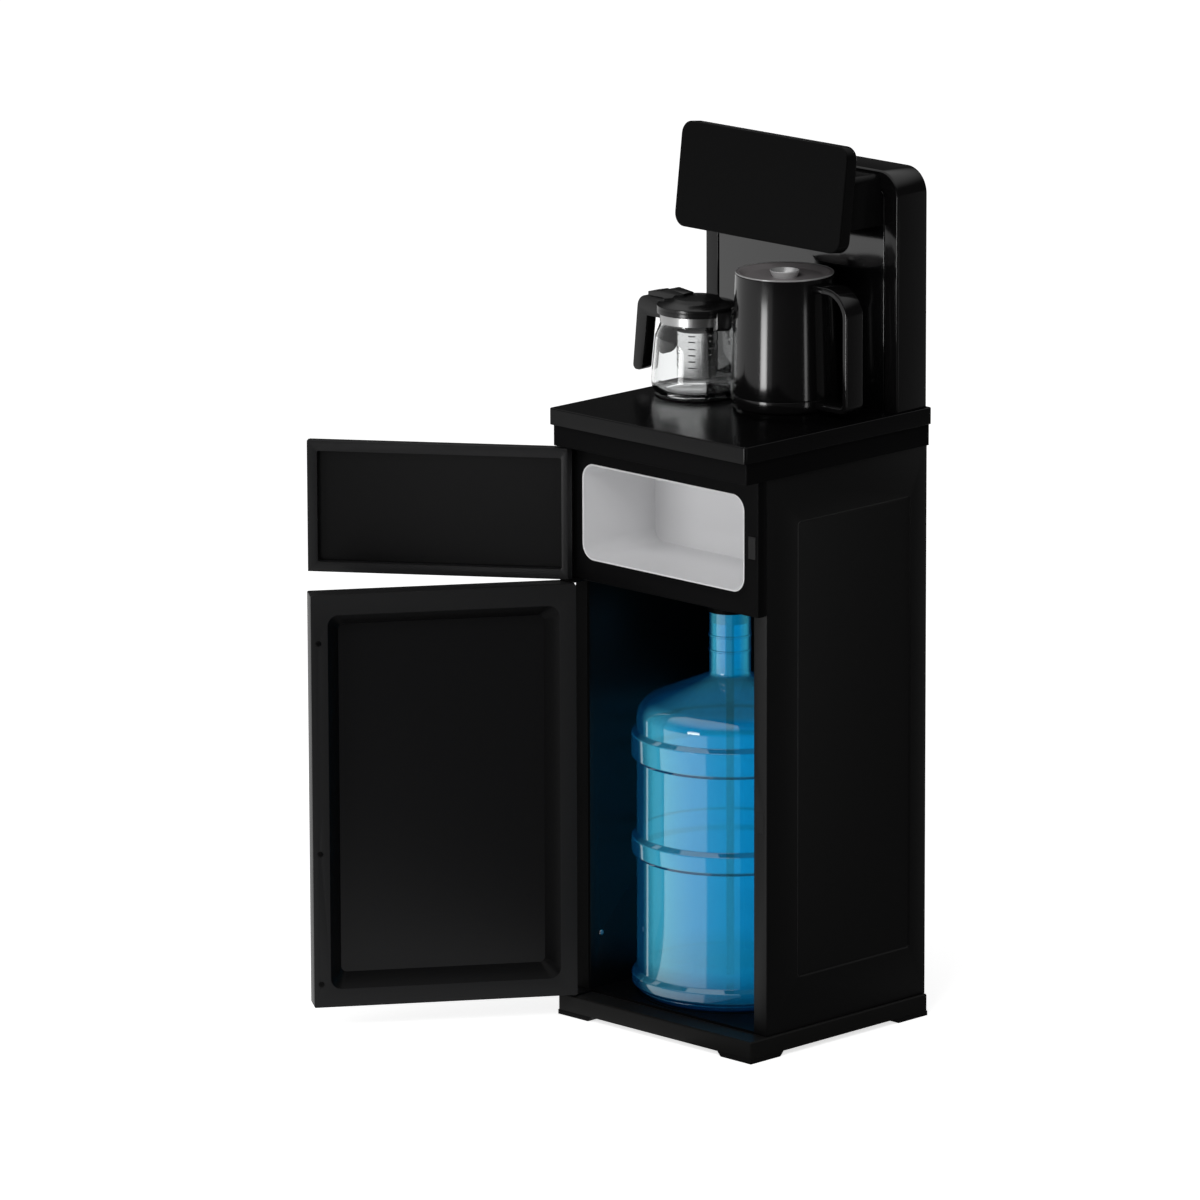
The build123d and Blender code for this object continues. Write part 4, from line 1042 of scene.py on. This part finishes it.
# %% Copies on points
def make_copies_tree():
    """Geometry Nodes: the head on every point, turned, realised and given its material."""
    inputs = {"Head": "NodeSocketObject", "Turn": "NodeSocketVector", "Material": "NodeSocketMaterial"}
    tree, start, end = new_tree("heads_on_points", inputs)
    head = tree.nodes.new("GeometryNodeObjectInfo")
    turn = tree.nodes.new("FunctionNodeEulerToRotation")
    place = tree.nodes.new("GeometryNodeInstanceOnPoints")
    wire(start, "Geometry", place, "Points")
    wire(start, "Head", head, "Object")
    wire(start, "Turn", turn, 0)
    wire(head, "Geometry", place, "Instance")
    wire(turn, 0, place, "Rotation")
    end_tree(tree, place, start, end)
    return tree


COPIES = make_copies_tree()
print(COPIES.name, "has", len(COPIES.nodes), "nodes")


def copies(name, points, head, turn, material):
    """A plain mesh of the head on every point."""
    mesh = bpy.data.meshes.new(name)
    mesh.from_pydata([tuple(point) for point in points], [], [])
    piece = new_piece(name + "_points", mesh)
    run_tree(piece, COPIES, {"Head": head, "Turn": turn, "Material": material})
    return evaluated_copy(piece, name)


# %% [markdown]
# ### Where the screws sit
# A CAD node holds several screws, each a separate solid. Walking along its edges finds them one by one; the
# middle of each, moved out to its end, is the seat of its head. So the heads follow the CAD wherever it
# moves.

# %% Seats
def islands(name):
    """Corner lists of the separate solids in a CAD node."""
    shape = bmesh.new()
    shape.from_mesh(frame["nodes"][name].data)
    bmesh.ops.remove_doubles(shape, verts=shape.verts, dist=MERGE)
    left = set(shape.verts)
    groups = []
    while left:
        queue = [left.pop()]
        group = []
        while queue:
            vertex = queue.pop()
            group.append(vertex.co.copy())
            for edge in vertex.link_edges:
                other = edge.other_vert(vertex)
                if other in left:
                    left.discard(other)
                    queue.append(other)
        groups.append(group)
    shape.free()
    return groups


def seat(group, out):
    """Where a screw's head sits: the middle of its solid, moved to just under the head."""
    middle = sum(group, Vector()) / len(group)
    far = max(point.dot(out) for point in group)
    return middle + out * (far - HEAD_H * MM - middle.dot(out))


# %% [markdown]
# ### Screws in three places
# Plated heads hold the back and the column's cover, one more shows on the bay's left wall, and three
# blackened ones run down the free edge of the lower door. The heads on the cabinet are joined, because they
# ride together.

# %% Screws
BACKWARDS = Vector((0, 1, 0))
RIGHTWARDS = Vector((1, 0, 0))
DOOR_SWING = LEAF_TURN + pi / 2
DOOR_OUT = Vector((cos(DOOR_SWING), sin(DOOR_SWING), 0))


def join(pieces, name):
    """One mesh object from several."""
    shape = bmesh.new()
    for piece in pieces:
        shape.from_mesh(piece.data)
        bpy.data.objects.remove(piece)
    return piece_of(shape, name)


def make_screws():
    """Heads on the back, inside the bay and down the lower door."""
    head = make_screw_head()
    groups = islands("column_screws") + islands("cabinet_screws")
    inner = [group for group in groups if max(point.y for point in group) < 0]
    outer = [group for group in groups if group not in inner]
    back = copies("back_heads", [seat(g, BACKWARDS) for g in outer], head, (-pi / 2, 0, 0), plated)
    bay = copies("bay_head", [seat(g, RIGHTWARDS) for g in inner], head, (0, pi / 2, 0), plated)
    stands_for(join([back, bay], "cabinet_heads"), "cabinet_screws", "column_screws")
    door = [seat(g, DOOR_OUT) for g in islands("lower_door_screws")]
    heads = copies("door_heads", door, head, (0, pi / 2, DOOR_SWING), blackened)
    stands_for(heads, "lower_door_screws")
    bpy.data.objects.remove(head)
    print(len(outer), "heads behind,", len(inner), "in the bay,", len(door), "on the door")


make_screws()

# %% [markdown]
# ## Suction hose
# The hose runs level from the bottle's cap and turns up into the pump. A curve object with a bevel could
# draw it; here a second tree fillets the corner of a line and sweeps a circle along it, so the bend and the
# bore are named inputs.

# %% Tube on a line
BEND_STEPS = 16
RING_STEPS = 32


def make_tube_tree():
    """Geometry Nodes: a filleted line becomes a tube of the given radius."""
    sizes = {label: "NodeSocketFloat" for label in ("Radius", "Bend", "Step")}
    tree, start, end = new_tree("tube_on_line", {**sizes, "Material": "NodeSocketMaterial"})
    line = tree.nodes.new("GeometryNodeMeshToCurve")
    fillet = tree.nodes.new("GeometryNodeFilletCurve")
    fillet.mode = "POLY"
    fillet.inputs["Count"].default_value = BEND_STEPS
    steps = tree.nodes.new("GeometryNodeResampleCurve")
    steps.mode = "LENGTH"
    ring = tree.nodes.new("GeometryNodeCurvePrimitiveCircle")
    ring.inputs["Resolution"].default_value = RING_STEPS
    sweep = tree.nodes.new("GeometryNodeCurveToMesh")
    wire(start, "Geometry", line, 0)
    wire(line, 0, fillet, "Curve")
    wire(start, "Bend", fillet, "Radius")
    wire(fillet, 0, steps, "Curve")
    wire(start, "Step", steps, "Length")
    wire(start, "Radius", ring, "Radius")
    wire(steps, 0, sweep, "Curve")
    wire(ring, 0, sweep, "Profile Curve")
    end_tree(tree, sweep, start, end)
    return tree


# %% [markdown]
# ### The hose's wall
# A Solidify modifier gives the tube its wall.

# %% Hose
HOSE_WALL = 1.5 * MM
HOSE_BEND = 35.0 * MM
HOSE_STEP = 3 * MM


def make_hose():
    """The hose from the bottle's cap to the pump."""
    low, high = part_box("suction_hose")
    radius = (high[0] - low[0]) / 2
    x, level, upright = (low[0] + high[0]) / 2, low[2] + radius, high[1] - radius
    ends = [(x, low[1], level), (x, upright, level), (x, upright, high[2])]
    mesh = bpy.data.meshes.new("hose_line")
    mesh.from_pydata(ends, [(0, 1), (1, 2)], [])
    piece = new_piece("hose_line", mesh)
    values = {"Radius": radius, "Bend": HOSE_BEND, "Step": HOSE_STEP, "Material": hose_clear}
    run_tree(piece, make_tube_tree(), values)
    wall = piece.modifiers.new("wall", "SOLIDIFY")
    wall.thickness = HOSE_WALL
    wall.offset = -1
    hose = evaluated_copy(piece, "bent_hose")
    shape = bmesh.new()
    shape.from_mesh(hose.data)
    bmesh.ops.recalc_face_normals(shape, faces=shape.faces)
    shape.to_mesh(hose.data)
    shape.free()
    dress(hose, "suction_hose", hose_clear)
    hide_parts("suction_hose")
    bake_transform(hose)
    print("hose", len(hose.data.vertices), "points, radius", round(radius / MM, 2))


make_hose()

# %% [markdown]
# ## Studio
# The object stands on a pale floor that runs into a white world. Both are white to the camera, but a glossy
# black object shows what it mirrors, and in the photograph it mirrors a bright left and a dark right with a
# step between. A real studio would stand a dark card there; here the floor looks different to glossy rays.

# %% What gloss sees
GLOSS_STOPS = ((0.0, 0.9), (0.4, 1.0), (0.63, 0.85), (0.65, 0.2), (0.78, 0.12), (0.92, 0.08), (1.0, 0.08))


def glossy_level(tree, place):
    """A ramp of what gloss sees by place: full on the left, a step, then dark on the right."""
    parts = node(tree, "ShaderNodeSeparateXYZ")
    flat = node(tree, "ShaderNodeVectorMath", operation="MULTIPLY")
    flat.inputs[1].default_value = (1, 1, 0)
    unit = node(tree, "ShaderNodeVectorMath", operation="NORMALIZE")
    share = node(tree, "ShaderNodeMapRange", From_Min=-1.0)
    ramp = ramp_of(tree, [(at, (level, level, level)) for at, level in GLOSS_STOPS])
    wire(place, "Position", flat, 0)
    wire(flat, 0, unit, 0)
    wire(unit, 0, parts, 0)
    wire(parts, "X", share, "Value")
    wire(share, "Result", ramp, "Fac")
    return ramp


# %% [markdown]
# ### World
# The world gives even light from all sides at a plain level. Light Path tells the rays apart: the camera
# and clear glass see white, and gloss sees dark at the horizon and bright overhead, as under a ceiling
# light.

# %% World
ROOM_LIGHT = 0.38
OVERHEAD = {"From_Min": 0.35, "From_Max": 0.8, "To_Min": 0.03, "To_Max": 0.9}


def make_world():
    """Even light; white to the camera and through glass; to gloss, brighter above."""
    world = bpy.data.worlds.new("studio")
    world.use_nodes = True
    tree = world.node_tree
    background = tree.nodes["Background"]
    background.inputs["Color"].default_value = (1, 1, 1, 1)
    place = node(tree, "ShaderNodeTexCoord")
    parts = node(tree, "ShaderNodeSeparateXYZ")
    gloss = node(tree, "ShaderNodeMapRange", interpolation_type="SMOOTHSTEP", **OVERHEAD)
    path = node(tree, "ShaderNodeLightPath")
    clear = node(tree, "ShaderNodeMath", operation="MAXIMUM")
    first = node(tree, "ShaderNodeMix")
    second = node(tree, "ShaderNodeMix")
    first.inputs[2].default_value = ROOM_LIGHT
    second.inputs[3].default_value = 1.0
    wire(place, "Generated", parts, 0)
    wire(parts, "Z", gloss, "Value")
    wire(gloss, "Result", first, 3)
    wire(path, "Is Camera Ray", clear, 0)
    wire(path, "Is Transmission Ray", clear, 1)
    wire(path, "Is Glossy Ray", first, 0)
    wire(first, 0, second, 2)
    wire(clear, 0, second, 0)
    wire(second, 0, background, "Strength")
    bpy.context.scene.world = world
    print("room light", ROOM_LIGHT)


make_world()

# %% [markdown]
# ### Floor
# A white floor lit by soft lamps comes out grey, so to the camera alone it also shines a little. The
# object's shadow still darkens it. Through glass it is plain white, and gloss sees the gradient of the cell
# above.

# %% Floor
FLOOR_HALF = 40
FLOOR_SHINE = 0.7


def floor_material():
    """White with a soft shadow to the camera, plain white through glass, and the gradient to gloss."""
    material = new_material("floor_white", (0.95, 0.95, 0.95), 0.9, Specular_IOR_Level=0.0)
    tree = material.node_tree
    shader = tree.nodes["Principled BSDF"]
    end = tree.nodes["Material Output"]
    path = node(tree, "ShaderNodeLightPath")
    raised = node(tree, "ShaderNodeMath", operation="MULTIPLY")
    raised.inputs[1].default_value = FLOOR_SHINE
    place = node(tree, "ShaderNodeNewGeometry")
    mirrored = node(tree, "ShaderNodeEmission")
    through = node(tree, "ShaderNodeEmission")
    first = node(tree, "ShaderNodeMixShader")
    second = node(tree, "ShaderNodeMixShader")
    shader.inputs["Emission Color"].default_value = (1, 1, 1, 1)
    wire(path, "Is Camera Ray", raised, 0)
    wire(raised, 0, shader, "Emission Strength")
    wire(glossy_level(tree, place), "Color", mirrored, "Color")
    wire(path, "Is Glossy Ray", first, "Fac")
    wire(shader, 0, first, 1)
    wire(mirrored, 0, first, 2)
    wire(path, "Is Transmission Ray", second, "Fac")
    wire(first, 0, second, 1)
    wire(through, 0, second, 2)
    wire(second, 0, end, "Surface")
    return material


def make_floor(half):
    """A pale floor under the object."""
    mesh = bpy.data.meshes.new("floor")
    corners = [(-half, -half, 0), (half, -half, 0), (half, half, 0), (-half, half, 0)]
    mesh.from_pydata(corners, [], [(0, 1, 2, 3)])
    floor = new_piece("floor", mesh)
    mesh.materials.append(floor_material())
    print("floor", 2 * half, "m wide")


make_floor(FLOOR_HALF)

# %% [markdown]
# ### Lamps
# Two soft lamps, hidden from gloss, light the pale parts. The two strips are the other way round: they
# exist only for gloss, and each draws one bright line down the kettle. Their small spread keeps them off
# the doors and the bottle.

# %% Lamps
KETTLE_MIDDLE = (0.04, 0.03, 0.85)
STRIP_SPREAD = 48


def lamp(name, place, aim, size, power, spread=180, diffuse=True, glossy=True):
    """A rectangular lamp at place that faces aim; a small spread keeps its light on what it faces."""
    data = bpy.data.lights.new(name, "AREA")
    data.shape = "RECTANGLE"
    data.size, data.size_y = size
    data.energy = power
    data.spread = radians(spread)
    light = bpy.data.objects.new(name, data)
    bpy.context.scene.collection.objects.link(light)
    light.location = place
    light.rotation_euler = (Vector(aim) - Vector(place)).to_track_quat("-Z", "Y").to_euler()
    light.visible_camera = False
    light.visible_diffuse = diffuse
    light.visible_glossy = glossy
    light.visible_transmission = False
    print(name, power, "W")


lamp("key", (1.5, -3.5, 4.0), (0, 0, 0.7), (2.0, 2.0), 60, glossy=False)
lamp("front_fill", (-0.8, -2.5, 0.8), (0, 0, 0.6), (1.2, 1.2), 14, glossy=False)
lamp("kettle_strip", (0.0, -1.17, 0.62), KETTLE_MIDDLE, (0.3, 0.46), 0.46, STRIP_SPREAD, diffuse=False)
lamp("kettle_side", (1.24, 0.034, 0.62), KETTLE_MIDDLE, (0.12, 0.46), 0.04, STRIP_SPREAD, diffuse=False)

# %% [markdown]
# ## Finish
# The Standard view shows a colour about as it is written.

# %% View
bpy.context.scene.view_settings.view_transform = "Standard"
